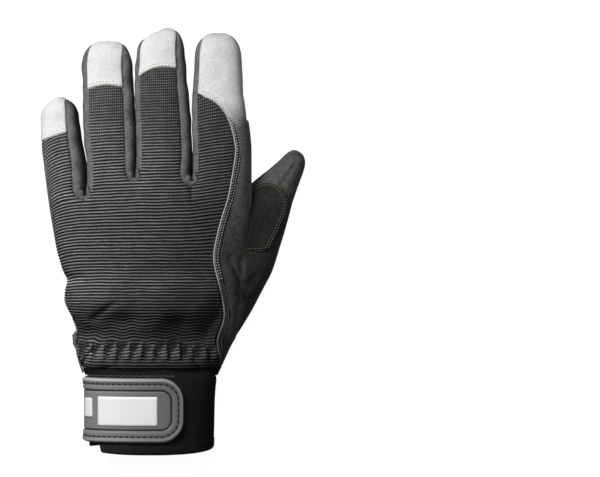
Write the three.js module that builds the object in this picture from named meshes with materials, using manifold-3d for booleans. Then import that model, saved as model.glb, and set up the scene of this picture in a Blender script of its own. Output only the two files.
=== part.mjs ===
// A rigger's work glove for the left hand, size 10, lying palm down.
// Millimetres. +X points to the thumb side, +Y to the fingertips, +Z up out of the back of the hand.
// The origin is the middle of the palm patch, on the surface that the glove lies on.
//
// Every cloth piece is a sheet: a net of four-cornered cells on the glove's outer form, given a wall
// thickness inwards. The form is a hand section and four finger sections that melt into each other
// at the knuckles, a thumb tube and a cuff tube. Gussets tuck under the panels that they are sewn to.
import * as THREE from "three";
import { mergeVertices } from "three/addons/utils/BufferGeometryUtils.js";
import Module from "manifold-3d";

const wasm = await Module();
wasm.setup();

// Driving dimensions
const WALL = 1.4; // knit and synthetic suede panels
const SEAM_GAP = 0.36; // left open between two pieces that are sewn together
const LEAST_GAP = 0.26; // what is cut free where a piece comes closer than that
const GUSSET_WALL = 1.0;
const PATCH_WALL = 1.2; // second layer of suede
const CUFF_WALL = 1.8;
const STRAP_FIELD = 1.5; // strap thickness in its flat middle
const STRAP_RIM = 2.3; // strap thickness on its padded edge
const LABEL_WALL = 0.6;
const PATCH_OUT = SEAM_GAP + PATCH_WALL; // how far a patch stands out of its panel
const PALM_FLOOR = PATCH_OUT; // height of the palm panel where the patch lies flat under it
const GUSSET_DEPTH = WALL + SEAM_GAP; // how deep a gusset's edge tucks under a panel
const WRIST_Y = -62; // lower edge of the panels
const CROTCH_OPENING = 9; // length over which a crotch opens to the finger's full edge
const TIP_WIDTH_SHARE = 0.83; // how much of the tip's turn narrows the width
const TIP_CLOSING = 0.34; // half height left at a fingertip's closing seam
const COLUMNS = 6; // net columns on each finger
const WRAP_COLUMNS = 5; // more columns where the palm suede wraps round the index side

// A short table with named columns, read with straight lines between its rows.
function table(columns, ...rows) {
  return rows.map((row) => Object.fromEntries(columns.map((c, i) => [c, row[i]])));
}

function at(rows, y, key = "y") {
  const first = rows[0];
  const last = rows[rows.length - 1];
  if (y <= first[key]) return { ...first };
  if (y >= last[key]) return { ...last };
  const next = rows.findIndex((r) => r[key] >= y);
  const share = (y - rows[next - 1][key]) / (rows[next][key] - rows[next - 1][key]);
  const mixed = {};
  for (const c of Object.keys(first)) mixed[c] = mix(rows[next - 1][c], rows[next][c], share);
  return mixed;
}

const mix = (a, b, share) => a + (b - a) * share;
const clamp01 = (v) => Math.min(1, Math.max(0, v));
const radians = (degrees) => (degrees * Math.PI) / 180;

function smooth(low, high, v) {
  const t = clamp01((v - low) / (high - low));
  return t * t * (3 - 2 * t);
}

// Hand outline and height, from the wrist to the knuckles
const HAND = table(
  ["y", "left", "right", "middle", "above", "below"],
  [-62, -40.4, 40.6, 19.6, 18.0, 17.6],
  [-53, -42.9, 43.0, 19.6, 17.2, 18.4],
  [-44, -44.7, 47.4, 19.8, 15.8, 18.8],
  [-37, -44.3, 50.6, 20.0, 16.6, 19.0],
  [-29, -47.0, 54.4, 20.0, 18.2, 19.2],
  [-20, -49.1, 56.6, 20.0, 19.2, 19.4],
  [-1, -51.7, 58.0, 20.0, 19.2, 19.5],
  [12, -54.7, 57.8, 20.0, 18.9, 19.5],
  [27, -57.0, 57.8, 20.5, 18.0, 18.5],
  [38, -58.8, 58.2, 21.5, 16.4, 16.0],
  [50, -60.9, 58.5, 22.5, 14.6, 13.5],
  [58, -61.5, 58.5, 23.0, 13.6, 12.5],
);
const HAND_POWER = 2.35; // roundness of the back of the hand
const PALM_POWER = 2.0;
const FINGER_POWER = 2.3;

// Fingers from the little finger to the index: sides, height, and the round tip's length
const FINGER_COLUMNS = ["y", "left", "right", "middle", "half"];
const FINGERS = [
  {
    name: "little",
    rows: table(
      FINGER_COLUMNS,
      [38, -58.8, -38.8, 21.5, 11.4],
      [50, -60.9, -37.0, 19.4, 10.8],
      [64, -62.4, -37.3, 16.6, 10.0],
      [74, -63.5, -39.6, 14.2, 9.6],
      [88, -64.1, -41.8, 9.4, 9.5],
    ),
    tip: 14.4,
    stations: [46.5, 51, 55.5, 60, 64.5, 69, 73.5, 78, 82.5, 86.6],
    backEdge: { left: 184, right: 47 },
    palmEdge: { left: 184, right: 40 },
  },
  {
    name: "ring",
    rows: table(
      FINGER_COLUMNS,
      [41, -37.4, -9.6, 23.0, 12.4],
      [50, -36.5, -9.0, 22.0, 12.0],
      [64, -36.8, -7.9, 19.8, 11.2],
      [74, -38.3, -7.9, 18.0, 10.7],
      [85, -39.2, -8.2, 16.0, 10.4],
      [100, -39.4, -9.1, 13.0, 10.2],
      [119, -40.2, -10.5, 9.7, 9.9],
    ),
    tip: 15,
    stations: [53, 61, 69, 77, 84.5, 92, 99.5, 106.6, 112.6, 118.8],
    backEdge: { left: 133, right: 47 },
    palmEdge: { left: 220, right: 40 },
  },
  {
    name: "middle",
    rows: table(
      FINGER_COLUMNS,
      [50, -8.5, 23.7, 23.2, 12.6],
      [64, -7.4, 24.9, 21.2, 11.8],
      [74, -7.4, 24.9, 19.4, 11.2],
      [85, -7.7, 24.4, 17.6, 10.8],
      [100, -8.6, 23.2, 14.8, 10.4],
      [112, -8.6, 21.8, 12.4, 10.2],
      [127, -7.6, 20.6, 9.8, 10.0],
    ),
    tip: 15,
    stations: [58, 66, 75, 83.5, 92, 100.5, 109, 117.8, 122.6, 127.2],
    backEdge: { left: 133, right: 47 },
    palmEdge: { left: 220, right: 40 },
  },
  {
    name: "index",
    rows: table(
      FINGER_COLUMNS,
      [46, 24.2, 58.2, 22.8, 12.6],
      [64, 25.4, 58.2, 20.6, 11.8],
      [74, 25.4, 58.0, 18.8, 11.2],
      [85, 24.9, 56.8, 17.0, 10.8],
      [100, 25.0, 55.0, 14.2, 10.4],
      [112, 25.9, 54.2, 12.0, 10.2],
      [125, 26.5, 53.9, 9.7, 9.9],
    ),
    tip: 14.4,
    stations: [56, 66, 75, 83.5, 90.6, 96, 100, 103, 114, 125.2],
    backEdge: { left: 133, right: 47 },
    palmEdge: { left: 220, right: 0 },
  },
];
const DOME_TURNS = [30, 55, 75, 90]; // rows over a fingertip, degrees round its curve
const CAP_STATION = 8; // the row at which the fingertip caps begin
const FINGER_STATIONS = 10;

// Crotches: where two neighbouring fingers part, and the hand's sides level with them
const KNUCKLE_LINE = table(
  ["u", "x", "y"],
  [0, -58.4, 37.0],
  [1, -38.2, 41.7],
  [2, -8.9, 51.2],
  [3, 24.1, 49.4],
  [4, 58.2, 45.6],
);

// Edge of the knit where the suede from the palm wraps round the index side
const SUEDE_EDGE = table(
  ["y", "x"],
  [-62, 41.2],
  [-51.7, 41.5],
  [-44.4, 39.7],
  [-39, 40.0],
  [-27, 43.9],
  [-11, 41.5],
  [4.7, 37.9],
  [12.3, 38.0],
  [30.6, 42.3],
  [41.7, 45.9],
  [53.9, 48.2],
  [69.4, 50.6],
  [76, 49.9],
  [84.2, 47.9],
  [91, 45.2],
  [96.4, 41.1],
  [100.4, 36.0],
  [103, 29.0],
);

// Heights of the net's rows on the hand, as shares of the way from the wrist to the knuckle line
const HAND_SHARES = [0, 0.06, 0.12, 0.2, 0.3, 0.43, 0.57, 0.7, 0.81, 0.9, 0.96, 1];
const GATHER = { from: -60, to: -36, depth: 0.55 }; // pleats of the elasticated wrist

// Thumb: distances from its tip along a straight axis, offset across it, and height
const THUMB_TIP = { x: 86.4, y: 70 };
const THUMB_TURN = 28; // degrees between the thumb and the fingers
const THUMB = table(
  ["along", "offset", "half", "middle", "height"],
  [14, 0.8, 9.6, 8.6, 8.7],
  [31, -0.5, 13.7, 10.4, 10.6],
  [45, 0, 15.2, 11.6, 11.8],
  [60, 2, 17.0, 12.6, 12.8],
  [80, 1.5, 19.0, 13.4, 13.5],
  [95, -2, 22.0, 14.0, 13.8],
  [108, -5, 25.0, 15.0, 14.0],
  [118, -5, 24.0, 18.0, 11.0],
  [126, -5, 20.0, 20.0, 6.0],
);
const THUMB_STATIONS = [14, 23, 33, 44, 56, 68, 80, 92, 102, 110, 118, 126];
const THUMB_DOME = 14;
const THUMB_SEAMS = { outer: -28, inner: 142 }; // where the front and back pieces of the thumb meet

// Cuff tube, elastic, its top tucked inside the panels
const CUFF = table(
  ["y", "left", "right", "middle", "half"],
  [-106, -36.6, 37.4, 19.6, 19.9],
  [-80, -38.2, 38.9, 19.6, 19.9],
  [-70, -38.2, 38.9, 19.6, 18.8],
  [-63.4, -38.2, 38.9, 19.6, 17.2],
  [-61.6, -36.2, 36.8, 19.6, 14.4],
  [-55, -36.6, 37.0, 19.6, 13.6],
);
const CUFF_HEIGHTS = [-105, -92, -80, -70, -63.4, -61.6, -55.5]; // of the cuff's rows
const CUFF_POWER = 2.3;
const CUFF_SLIT = { from: 183, to: 188.5 }; // the cuff's two ends, on the little-finger side
const CUFF_BOW = 3.6; // how much the cuff's lower edge bows out at the back of the hand

// Strap: from the little-finger side across the back of the cuff
const STRAP = { start: 192, end: 60, low: -101.4, high: -63.6, corner: 11 };
const LABEL = { from: 128.5, to: 76.5, low: -91.4, high: -74.0 };
const TAG = { from: 170, to: 140.5, low: -87.2, high: -75.2 };

// Patches of second-layer suede, as outlines seen from the palm
const PALM_PATCH = table(
  ["x", "y"],
  [-70, -40.0],
  [-34.5, -40.4],
  [-19.2, -38.3],
  [-3.8, -34.7],
  [-3.8, -27.6],
  [0.8, -14.8],
  [11.5, 1.6],
  [23.1, 17.3],
  [27.6, 24.4],
  [26.1, 33.0],
  [16.9, 45.7],
  [14.6, 55.6],
  [9.6, 57.7],
  [3.2, 56.3],
  [1.6, 50.3],
  [-7.4, 40.8],
  [-12.3, 42.6],
  [-12.6, 52.8],
  [-23.8, 53.6],
  [-25.9, 39.0],
  [-33.4, 29.4],
  [-39.9, 28.0],
  [-42.5, 44.7],
  [-70, 44.4],
);
const INDEX_PATCH = table(
  ["x", "y"],
  [35.2, -2],
  [70, -2],
  [70, 82.6],
  [36.8, 82.6],
  [31.6, 79.0],
  [31.6, 50],
  [32.6, 40],
  [35.2, 25.6],
);
const PALM_PATCH_TOP = 14; // how far each patch wraps up the hand's side
const INDEX_PATCH_TOP = 19;

// Sections

function superellipse(section, degrees, out) {
  const c = Math.cos(radians(degrees));
  const s = Math.sin(radians(degrees));
  const power = s < 0 ? section.lowPower : section.power;
  const height = s < 0 ? section.below : section.above;
  const bend = (v, p) => Math.sign(v) * Math.abs(v) ** (2 / p);
  return {
    x: section.x + (section.halfWidth + out) * bend(c, power),
    z: section.z + (height + out) * bend(s, power),
  };
}

function handSection(y) {
  const h = at(HAND, y);
  return {
    x: (h.left + h.right) / 2,
    halfWidth: (h.right - h.left) / 2,
    z: h.middle,
    above: h.above,
    below: h.below,
    power: HAND_POWER,
    lowPower: PALM_POWER,
  };
}

function fingerSection(finger, y) {
  const f = at(FINGERS[finger].rows, y);
  return {
    x: (f.left + f.right) / 2,
    halfWidth: (f.right - f.left) / 2,
    z: f.middle,
    above: f.half,
    below: f.half,
    power: FINGER_POWER,
    lowPower: FINGER_POWER,
  };
}

// The angle on a section at which its back lies at x
function angleAt(section, x) {
  const share = Math.min(1, Math.max(-1, (x - section.x) / section.halfWidth));
  const c = Math.sign(share) * Math.abs(share) ** (section.power / 2);
  return (Math.acos(c) * 180) / Math.PI;
}

const stretchAbove = (z, floor) => Math.max(z, floor);

// A row of a finger: its height, and how far it has turned over the tip
function fingerRow(finger, row, across) {
  const u = finger + (across + 1) / 2;
  const knuckle = at(KNUCKLE_LINE, u, "u").y;
  if (row <= 0) return { y: knuckle, turn: 0, u, knuckle };
  const f = FINGERS[finger];
  if (row > FINGER_STATIONS) {
    const turn = DOME_TURNS[row - FINGER_STATIONS - 1];
    return { y: f.stations[FINGER_STATIONS - 1], turn, u, knuckle };
  }
  const middleOfLine = at(KNUCKLE_LINE, finger + 0.5, "u").y;
  const lean = (knuckle - middleOfLine) * (1 - row / CAP_STATION) ** 2;
  return { y: f.stations[row - 1] + (row < CAP_STATION ? lean : 0), turn: 0, u, knuckle };
}

function handRow(share, u) {
  const knuckle = at(KNUCKLE_LINE, u, "u").y;
  return { y: mix(WRIST_Y, knuckle, share), turn: 0, u, knuckle };
}

// A point on a finger's own tube, rounded over the tip
function fingerPoint(finger, place, degrees, out) {
  const section = fingerSection(finger, place.y);
  const turn = radians(place.turn);
  const length = FINGERS[finger].tip + out;
  const narrowed = {
    ...section,
    halfWidth: (section.halfWidth + out) * Math.cos(turn * TIP_WIDTH_SHARE),
    above: Math.max((section.above + out) * Math.cos(turn), TIP_CLOSING),
    below: Math.max((section.below + out) * Math.cos(turn), TIP_CLOSING),
  };
  const p = superellipse(narrowed, degrees, 0);
  return { x: p.x, y: place.y + length * Math.sin(turn), z: stretchAbove(p.z, -out) };
}

// Palm angles of the knuckle line's points, on the back and in the palm
function handAngle(u, y, back) {
  const section = handSection(y);
  const edge = at(KNUCKLE_LINE, u, "u");
  const knuckleSection = handSection(edge.y);
  const share = (edge.x - knuckleSection.x) / knuckleSection.halfWidth;
  const power = back ? section.power : section.lowPower;
  const c = Math.sign(share) * Math.min(1, Math.abs(share)) ** (power / 2);
  const degrees = (Math.acos(c) * 180) / Math.PI;
  return back ? degrees : 360 - degrees;
}

const insetAngle = (halfWidth) => ((SEAM_GAP / 2 / halfWidth) * 180) / Math.PI;

// The suede edge as an angle on the index finger and on the hand
function suedeAngle(section, place) {
  const lastTurn = FINGERS[3].backEdge.left;
  if (place.turn > 0 || place.y >= SUEDE_EDGE[SUEDE_EDGE.length - 1].y) return lastTurn;
  return Math.min(lastTurn, angleAt(section, at(SUEDE_EDGE, place.y).x));
}

// Towards the tip the gusset narrows and the back and palm panels meet
function edgeNarrowing(turn) {
  return clamp01(1 - turn / 56);
}

function sideEdge(degrees, turn, insets) {
  const flat = degrees > 90 && degrees < 270 ? 180 : degrees >= 270 ? 360 : 0;
  return flat + (degrees - flat) * edgeNarrowing(turn) + insets;
}

// A point of the panels on the back; across runs from -1 on a finger's left edge to 1 on its right
function backPoint(finger, place, across, out) {
  const share = (across + 1) / 2;
  const hand = handSection(place.y);
  const tube = fingerSection(finger, place.y);
  const inset = insetAngle(tube.halfWidth) * 1.2;
  const edge = FINGERS[finger].backEdge;
  const left = sideEdge(edge.left, place.turn, -inset);
  let right = sideEdge(edge.right, place.turn, inset);
  let handLeft = finger === 0 ? 184 : handAngle(finger, place.y, true);
  let handRight = handAngle(finger + 1, place.y, true);
  if (finger === 0) handLeft -= insetAngle(hand.halfWidth);
  if (finger === 3) {
    right = suedeAngle(tube, place) + inset;
    handRight = suedeAngle(hand, place) + insetAngle(hand.halfWidth);
  }
  const onFinger = fingerPoint(finger, place, mix(left, right, share), out);
  const onHand = superellipse(hand, mix(handLeft, handRight, share), out);
  return meltTogether(onHand, onFinger, place);
}

// A point of the palm side; on the index it goes on round the side to the suede edge
function palmPoint(finger, place, across, out) {
  const share = (across + 1) / 2;
  const hand = handSection(place.y);
  const tube = fingerSection(finger, place.y);
  const inset = insetAngle(tube.halfWidth) * 1.2;
  const edge = FINGERS[finger].palmEdge;
  const left = sideEdge(edge.left, place.turn, inset);
  let right = sideEdge(360 - edge.right, place.turn, -inset);
  let handLeft = finger === 0 ? 184 : handAngle(finger, place.y, false);
  let handRight = handAngle(finger + 1, place.y, false);
  if (finger === 0) handLeft += insetAngle(hand.halfWidth);
  if (finger === 3) {
    const topEdge = suedeAngle(tube, place);
    const atTip = topEdge > 90 ? sideEdge(topEdge, place.turn, 0) : topEdge;
    right = 360 + atTip - inset;
    handRight = 360 + suedeAngle(hand, place) - insetAngle(hand.halfWidth);
  }
  const onFinger = fingerPoint(finger, place, mix(left, right, share), out);
  const onHand = superellipse(hand, mix(handLeft, handRight, share), out);
  onHand.z = stretchAbove(onHand.z, PALM_FLOOR - out);
  return meltTogether(onHand, onFinger, place);
}

// Below the knuckle line the hand's section rules, and above it the finger's
function meltTogether(onHand, onFinger, place) {
  const above = place.y - place.knuckle;
  const opening = place.turn > 0 ? 1 : Math.sqrt(clamp01(above / CROTCH_OPENING));
  const height = place.turn > 0 ? 1 : smooth(-16, 8, above);
  return {
    x: mix(onHand.x, onFinger.x, opening),
    y: onFinger.y === place.y ? place.y : onFinger.y,
    z: mix(onHand.z, onFinger.z, height),
  };
}

// Pleats of the gathered wrist, in and out on every second column
function pleat(point, column) {
  const inBand = smooth(GATHER.from - 4, GATHER.from + 4, point.y) * (1 - smooth(GATHER.to - 6, GATHER.to, point.y));
  const side = column % 2 === 0 ? 1 : -1;
  return { ...point, z: point.z + side * GATHER.depth * inBand };
}

// Sheets

class Sheet {
  constructor() {
    this.indices = new Map();
    this.outer = [];
    this.inner = [];
    this.cells = [];
  }

  vertex(key, outside, inside) {
    if (!this.indices.has(key)) {
      this.indices.set(key, this.outer.length);
      this.outer.push(outside);
      this.inner.push(inside);
    }
    return this.indices.get(key);
  }

  // One closed surface: the cells outside, the same cells inside, and a wall along every open edge
  geometry() {
    const count = this.outer.length;
    const positions = [...this.outer, ...this.inner].flatMap((p) => [p.x, p.y, p.z]);
    const index = [];
    const directed = new Set();
    for (const cell of this.cells) {
      const corners = cell.filter((v, i) => cell.indexOf(v) === i);
      for (let i = 1; i + 1 < corners.length; i++) {
        index.push(corners[0], corners[i], corners[i + 1]);
        index.push(corners[0] + count, corners[i + 1] + count, corners[i] + count);
      }
      corners.forEach((v, i) => directed.add(`${v}>${corners[(i + 1) % corners.length]}`));
    }
    for (const edge of directed) {
      const [a, b] = edge.split(">").map(Number);
      if (directed.has(`${b}>${a}`)) continue;
      index.push(a, a + count, b + count, a, b + count, b);
    }
    return facingOut(positions, index);
  }
}

function facingOut(positions, index) {
  const corner = (i) => new THREE.Vector3().fromArray(positions, i * 3);
  let volume = 0;
  for (let i = 0; i < index.length; i += 3) {
    volume += corner(index[i]).dot(corner(index[i + 1]).cross(corner(index[i + 2])));
  }
  if (volume < 0) {
    for (let i = 0; i < index.length; i += 3) [index[i + 1], index[i + 2]] = [index[i + 2], index[i + 1]];
  }
  const geometry = new THREE.BufferGeometry();
  geometry.setAttribute("position", new THREE.Float32BufferAttribute(positions, 3));
  geometry.setIndex(index);
  return geometry;
}

// A net of rows and columns; pointAt gives the outer and the inner point of a corner
function netSheet(rowCount, columnCount, pointAt, sheet = new Sheet(), keyAt = (r, c) => `${r},${c}`) {
  for (let r = 0; r < rowCount; r++) {
    for (let c = 0; c < columnCount; c++) {
      const corners = [[r, c], [r, c + 1], [r + 1, c + 1], [r + 1, c]];
      sheet.cells.push(corners.map(([i, j]) => sheet.vertex(keyAt(i, j), ...pointAt(i, j))));
    }
  }
  return sheet;
}

// A hand-shaped sheet: the hand's rows, then each finger's rows with slits between the fingers
function gloveSheet(pointOf, columnsOf, lastRow, shares = HAND_SHARES, fingers = [0, 1, 2, 3]) {
  const sheet = new Sheet();
  for (const finger of fingers) {
    const columns = columnsOf(finger);
    const firstRow = -(shares.length - 1);
    const pointAt = (r, c) => {
      const row = r + firstRow;
      const across = -1 + (2 * c) / columns;
      const u = finger + c / columns;
      const place = row <= 0 ? handRow(shares[row - firstRow], u) : fingerRow(finger, row, across);
      return pointOf(finger, place, across, c, row);
    };
    // Neighbouring fingers share the corners between them as far as the knuckle line
    const keyAt = (r, c) => {
      const row = r + firstRow;
      if (row > 0) return `${finger}:${row},${c}`;
      return c === columns ? `${finger + 1}:${row},0` : `${finger}:${row},${c}`;
    };
    netSheet(lastRow(finger) - firstRow, columns, pointAt, sheet, keyAt);
  }
  return sheet;
}

// Solids, for cutting only

function manifoldOf(geometry) {
  const bare = geometry.clone();
  bare.deleteAttribute("normal");
  bare.deleteAttribute("uv");
  const merged = mergeVertices(bare, 1e-4);
  return new wasm.Manifold(
    new wasm.Mesh({
      numProp: 3,
      vertProperties: Float32Array.from(merged.attributes.position.array),
      triVerts: Uint32Array.from(merged.index.array),
    }),
  );
}

// The largest piece that is left, as a geometry, without needless corners
const SIMPLIFY = 0.04;
function geometryOf(solid) {
  const largest = solid.decompose().sort((a, b) => b.volume() - a.volume())[0].simplify(SIMPLIFY);
  const mesh = largest.getMesh();
  const geometry = new THREE.BufferGeometry();
  geometry.setAttribute("position", new THREE.BufferAttribute(Float32Array.from(mesh.vertProperties), 3));
  geometry.setIndex(new THREE.BufferAttribute(Uint32Array.from(mesh.triVerts), 1));
  return geometry;
}

// A closed tube through rings of points
function tube(rings) {
  const sides = rings[0].length;
  const positions = rings.flat().flatMap((p) => [p.x, p.y, p.z]);
  const index = [];
  for (let r = 0; r + 1 < rings.length; r++) {
    for (let i = 0; i < sides; i++) {
      const j = (i + 1) % sides;
      const [a, b, c, d] = [r * sides + i, r * sides + j, (r + 1) * sides + j, (r + 1) * sides + i];
      index.push(a, b, c, a, c, d);
    }
  }
  for (let i = 1; i + 1 < sides; i++) {
    const last = (rings.length - 1) * sides;
    index.push(0, i + 1, i, last, last + i, last + i + 1);
  }
  return manifoldOf(facingOut(positions, index));
}

const CUTTER_SIDES = 48;
const roundTheSection = Array.from({ length: CUTTER_SIDES }, (_, i) => (i * 360) / CUTTER_SIDES);

function handSolid(out) {
  const heights = HAND.map((row) => row.y).filter((y) => y < 50);
  return tube(
    [WRIST_Y - 10, ...heights, 50].map((y) =>
      roundTheSection.map((degrees) => {
        const p = superellipse(handSection(y), degrees, out);
        return { x: p.x, y, z: stretchAbove(p.z, PALM_FLOOR - out) };
      }),
    ),
  );
}

// The thumb

function thumbPoint(place, degrees, out) {
  const t = at(THUMB, place.along, "along");
  const turn = radians(place.turn);
  const half = (t.half + out) * Math.cos(turn * TIP_WIDTH_SHARE);
  const height = Math.max((t.height + out) * Math.cos(turn), TIP_CLOSING);
  const section = { x: t.offset, z: t.middle, halfWidth: half, above: height, below: height, power: 2.1, lowPower: 2.1 };
  const p = superellipse(section, degrees, 0);
  const along = place.along - (THUMB_DOME + out) * Math.sin(turn);
  const lean = radians(THUMB_TURN);
  return {
    x: THUMB_TIP.x - along * Math.sin(lean) + p.x * Math.cos(lean),
    y: THUMB_TIP.y - along * Math.cos(lean) - p.x * Math.sin(lean),
    z: stretchAbove(p.z, -out),
  };
}

const THUMB_ROWS = [
  ...[...DOME_TURNS].reverse().map((turn) => ({ along: THUMB_DOME, turn })),
  ...THUMB_STATIONS.map((along) => ({ along, turn: 0 })),
];

function thumbSheet(fromDegrees, toDegrees, columns, outside, inside, rows = THUMB_ROWS) {
  return netSheet(rows.length - 1, columns, (r, c) => {
    const inset = insetAngle(at(THUMB, rows[r].along, "along").half);
    // At the tip both seams run together on the thumb's edge
    const close = 1 - smooth(50, 90, rows[r].turn);
    const middleAngle = (fromDegrees + toDegrees) / 2 > 90 ? 180 : 0;
    const from = mix(middleAngle === 180 ? 180 : 0, fromDegrees, close) + inset;
    const to = mix(middleAngle === 180 ? 360 : 180, toDegrees, close) - inset;
    const degrees = mix(from, to, c / columns);
    return [thumbPoint(rows[r], degrees, outside), thumbPoint(rows[r], degrees, inside)];
  });
}

function thumbSolid(out) {
  const rows = THUMB_ROWS.slice(1).map((row) => ({ ...row }));
  return tube(rows.map((row) => roundTheSection.map((degrees) => thumbPoint(row, degrees, out))));
}

// Gussets: one strip down a finger's side, round the crotch and up the next finger

const GUSSET_LAST_ROW = FINGER_STATIONS + 2;
const GUSSET_STEPS = [0, 0.12, 0.5, 0.88, 1]; // across the strip, from its back edge to its palm edge
const GUSSET_OUT = [-1, -1, 0, -1, -1]; // shares of the tuck's depth
const CROTCH_TUCK = 0.9; // how far below the panels' inner faces the strip's edges stay at a crotch

function gussetLeg(finger, row, step, rightSide, depth) {
  const across = rightSide ? 1 : -1;
  const place = fingerRow(finger, row, across);
  const f = FINGERS[finger];
  const overlap = 5; // degrees tucked under each panel
  const narrowing = edgeNarrowing(place.turn);
  const back = (rightSide ? f.backEdge.right : 180 - f.backEdge.left) * narrowing + overlap;
  const palm = (rightSide ? f.palmEdge.right : f.palmEdge.left - 180) * narrowing + overlap;
  const local = mix(back, -palm, GUSSET_STEPS[step]);
  const showing = smooth(0.15, 0.5, narrowing); // nothing of the strip is left to see at the tip
  const out = mix(-1, GUSSET_OUT[step], showing) * GUSSET_DEPTH - depth;
  const onFinger = fingerPoint(finger, place, rightSide ? local : 180 - local, out);
  if (place.turn > 0) return onFinger;
  // Near the crotch the strip stands upright beside the slit, below the panels' inner faces
  const top = backPoint(finger, place, across, -WALL).z - CROTCH_TUCK;
  const low = palmPoint(finger, place, across, -WALL).z + CROTCH_TUCK;
  const crotchX = at(KNUCKLE_LINE, rightSide ? finger + 1 : finger, "u").x;
  const upright = {
    x: crotchX - across * (0.6 + depth),
    z: mix(top, low, GUSSET_STEPS[step]),
  };
  const opening = Math.sqrt(clamp01((place.y - place.knuckle) / CROTCH_OPENING));
  return { x: mix(upright.x, onFinger.x, opening), y: place.y, z: mix(upright.z, onFinger.z, opening) };
}

function gussetSheet(finger) {
  const rows = [];
  for (let row = GUSSET_LAST_ROW; row >= 1; row--) rows.push({ finger, row, right: true });
  rows.push({ bottom: true });
  for (let row = 1; row <= GUSSET_LAST_ROW; row++) rows.push({ finger: finger + 1, row, right: false });
  const crotch = at(KNUCKLE_LINE, finger + 1, "u");
  const pointAt = (r, c) => {
    const leg = rows[r];
    if (!leg.bottom) return [0, GUSSET_WALL].map((depth) => gussetLeg(leg.finger, leg.row, c, leg.right, depth));
    const place = { y: crotch.y, turn: 0, u: finger + 1, knuckle: crotch.y };
    const top = backPoint(finger, place, 1, -WALL).z - CROTCH_TUCK;
    const low = palmPoint(finger, place, 1, -WALL).z + CROTCH_TUCK;
    const z = mix(top, low, GUSSET_STEPS[c]);
    return [{ x: crotch.x, y: crotch.y + 1.4, z }, { x: crotch.x, y: crotch.y + 1.4 - GUSSET_WALL, z }];
  };
  return netSheet(rows.length - 1, GUSSET_STEPS.length - 1, pointAt);
}

// Cuff, strap and label

function cuffPoint(y, degrees, out) {
  const c = at(CUFF, y);
  const section = {
    x: (c.left + c.right) / 2,
    halfWidth: (c.right - c.left) / 2,
    z: c.middle,
    above: c.half,
    below: c.half,
    power: CUFF_POWER,
    lowPower: CUFF_POWER,
  };
  const p = superellipse(section, degrees, out);
  return { x: p.x, y, z: stretchAbove(p.z, -out) };
}

function cuffTube(faces) {
  const columns = 32;
  return netSheet(CUFF_HEIGHTS.length - 1, columns, (r, c) => {
    const degrees = mix(CUFF_SLIT.to, CUFF_SLIT.from + 360, c / columns);
    const bow = r === 0 ? CUFF_BOW * Math.max(0, Math.sin(radians(degrees))) : 0;
    const y = CUFF_HEIGHTS[r] - bow;
    return faces.map((out) => cuffPoint(y, degrees, out));
  }).geometry();
}

// The strap keeps one section all over and bridges the cuff's narrower top
const strapPoint = (y, degrees, out) => ({ ...cuffPoint(-80, degrees, out), y });

// Across the strap: share of its half height, and thickness there
const STRAP_RELIEF = table(
  ["across", "thick"],
  [-1, 0.9],
  [-0.9, STRAP_RIM],
  [-0.76, STRAP_RIM],
  [-0.7, STRAP_FIELD],
  [0.7, STRAP_FIELD],
  [0.76, STRAP_RIM],
  [0.9, STRAP_RIM],
  [1, 0.9],
);

// Lengthwise the strap ends in a rounded corner, worked out by its corner radius
function strapSheet() {
  const ends = [0, 0.4, 0.72, 0.92, 1];
  const straight = 12;
  const columns = straight + ends.length - 1;
  const endStart = STRAP.end + 17; // degrees at which the rounded end begins
  const middle = (STRAP.low + STRAP.high) / 2;
  const half = (STRAP.high - STRAP.low) / 2;
  return netSheet(STRAP_RELIEF.length - 1, columns, (r, c) => {
    const intoEnd = c > straight ? ends[c - straight] : 0;
    const degrees = c <= straight ? mix(STRAP.start, endStart, c / straight) : mix(endStart, STRAP.end, intoEnd);
    const reach = half - STRAP.corner * (1 - Math.sqrt(1 - intoEnd ** 2));
    const y = middle + STRAP_RELIEF[r].across * reach;
    const atRim = intoEnd >= 0.72 ? STRAP_RIM : STRAP_RELIEF[r].thick;
    const thick = intoEnd === 1 || c === 0 ? 0.9 : Math.max(STRAP_RELIEF[r].thick, Math.abs(STRAP_RELIEF[r].across) < 1 ? atRim : 0);
    return [SEAM_GAP + thick, SEAM_GAP].map((out) => strapPoint(y, degrees, out));
  }).geometry();
}

function plateSheet(plate, columns) {
  return netSheet(2, columns, (r, c) => {
    const degrees = mix(plate.from, plate.to, c / columns);
    const y = mix(plate.low, plate.high, r / 2);
    const seat = 2 * SEAM_GAP + STRAP_FIELD;
    return [seat + LABEL_WALL, seat].map((out) => strapPoint(y, degrees, out));
  }).geometry();
}

// Panels

// The two faces of a piece: how far each stands out of the glove's form
const PANEL = [0, -WALL];

function backPanel(faces) {
  const pointOf = (finger, place, across, column, row) =>
    faces.map((out) => {
      const p = backPoint(finger, place, across, out);
      const cut = row === CAP_STATION || (finger === 3 && row >= CAP_STATION);
      return pleat(cut ? { ...p, y: p.y - SEAM_GAP / 2 } : p, finger * COLUMNS + column);
    });
  const lastRow = (finger) => (finger === 3 ? CAP_STATION - 1 : CAP_STATION);
  return gloveSheet(pointOf, () => COLUMNS, lastRow).geometry();
}

function palmPanel(faces) {
  const pointOf = (finger, place, across) => faces.map((out) => palmPoint(finger, place, across, out));
  const columnsOf = (finger) => (finger === 3 ? COLUMNS + WRAP_COLUMNS : COLUMNS);
  return gloveSheet(pointOf, columnsOf, () => FINGER_STATIONS + DOME_TURNS.length).geometry();
}

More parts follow.
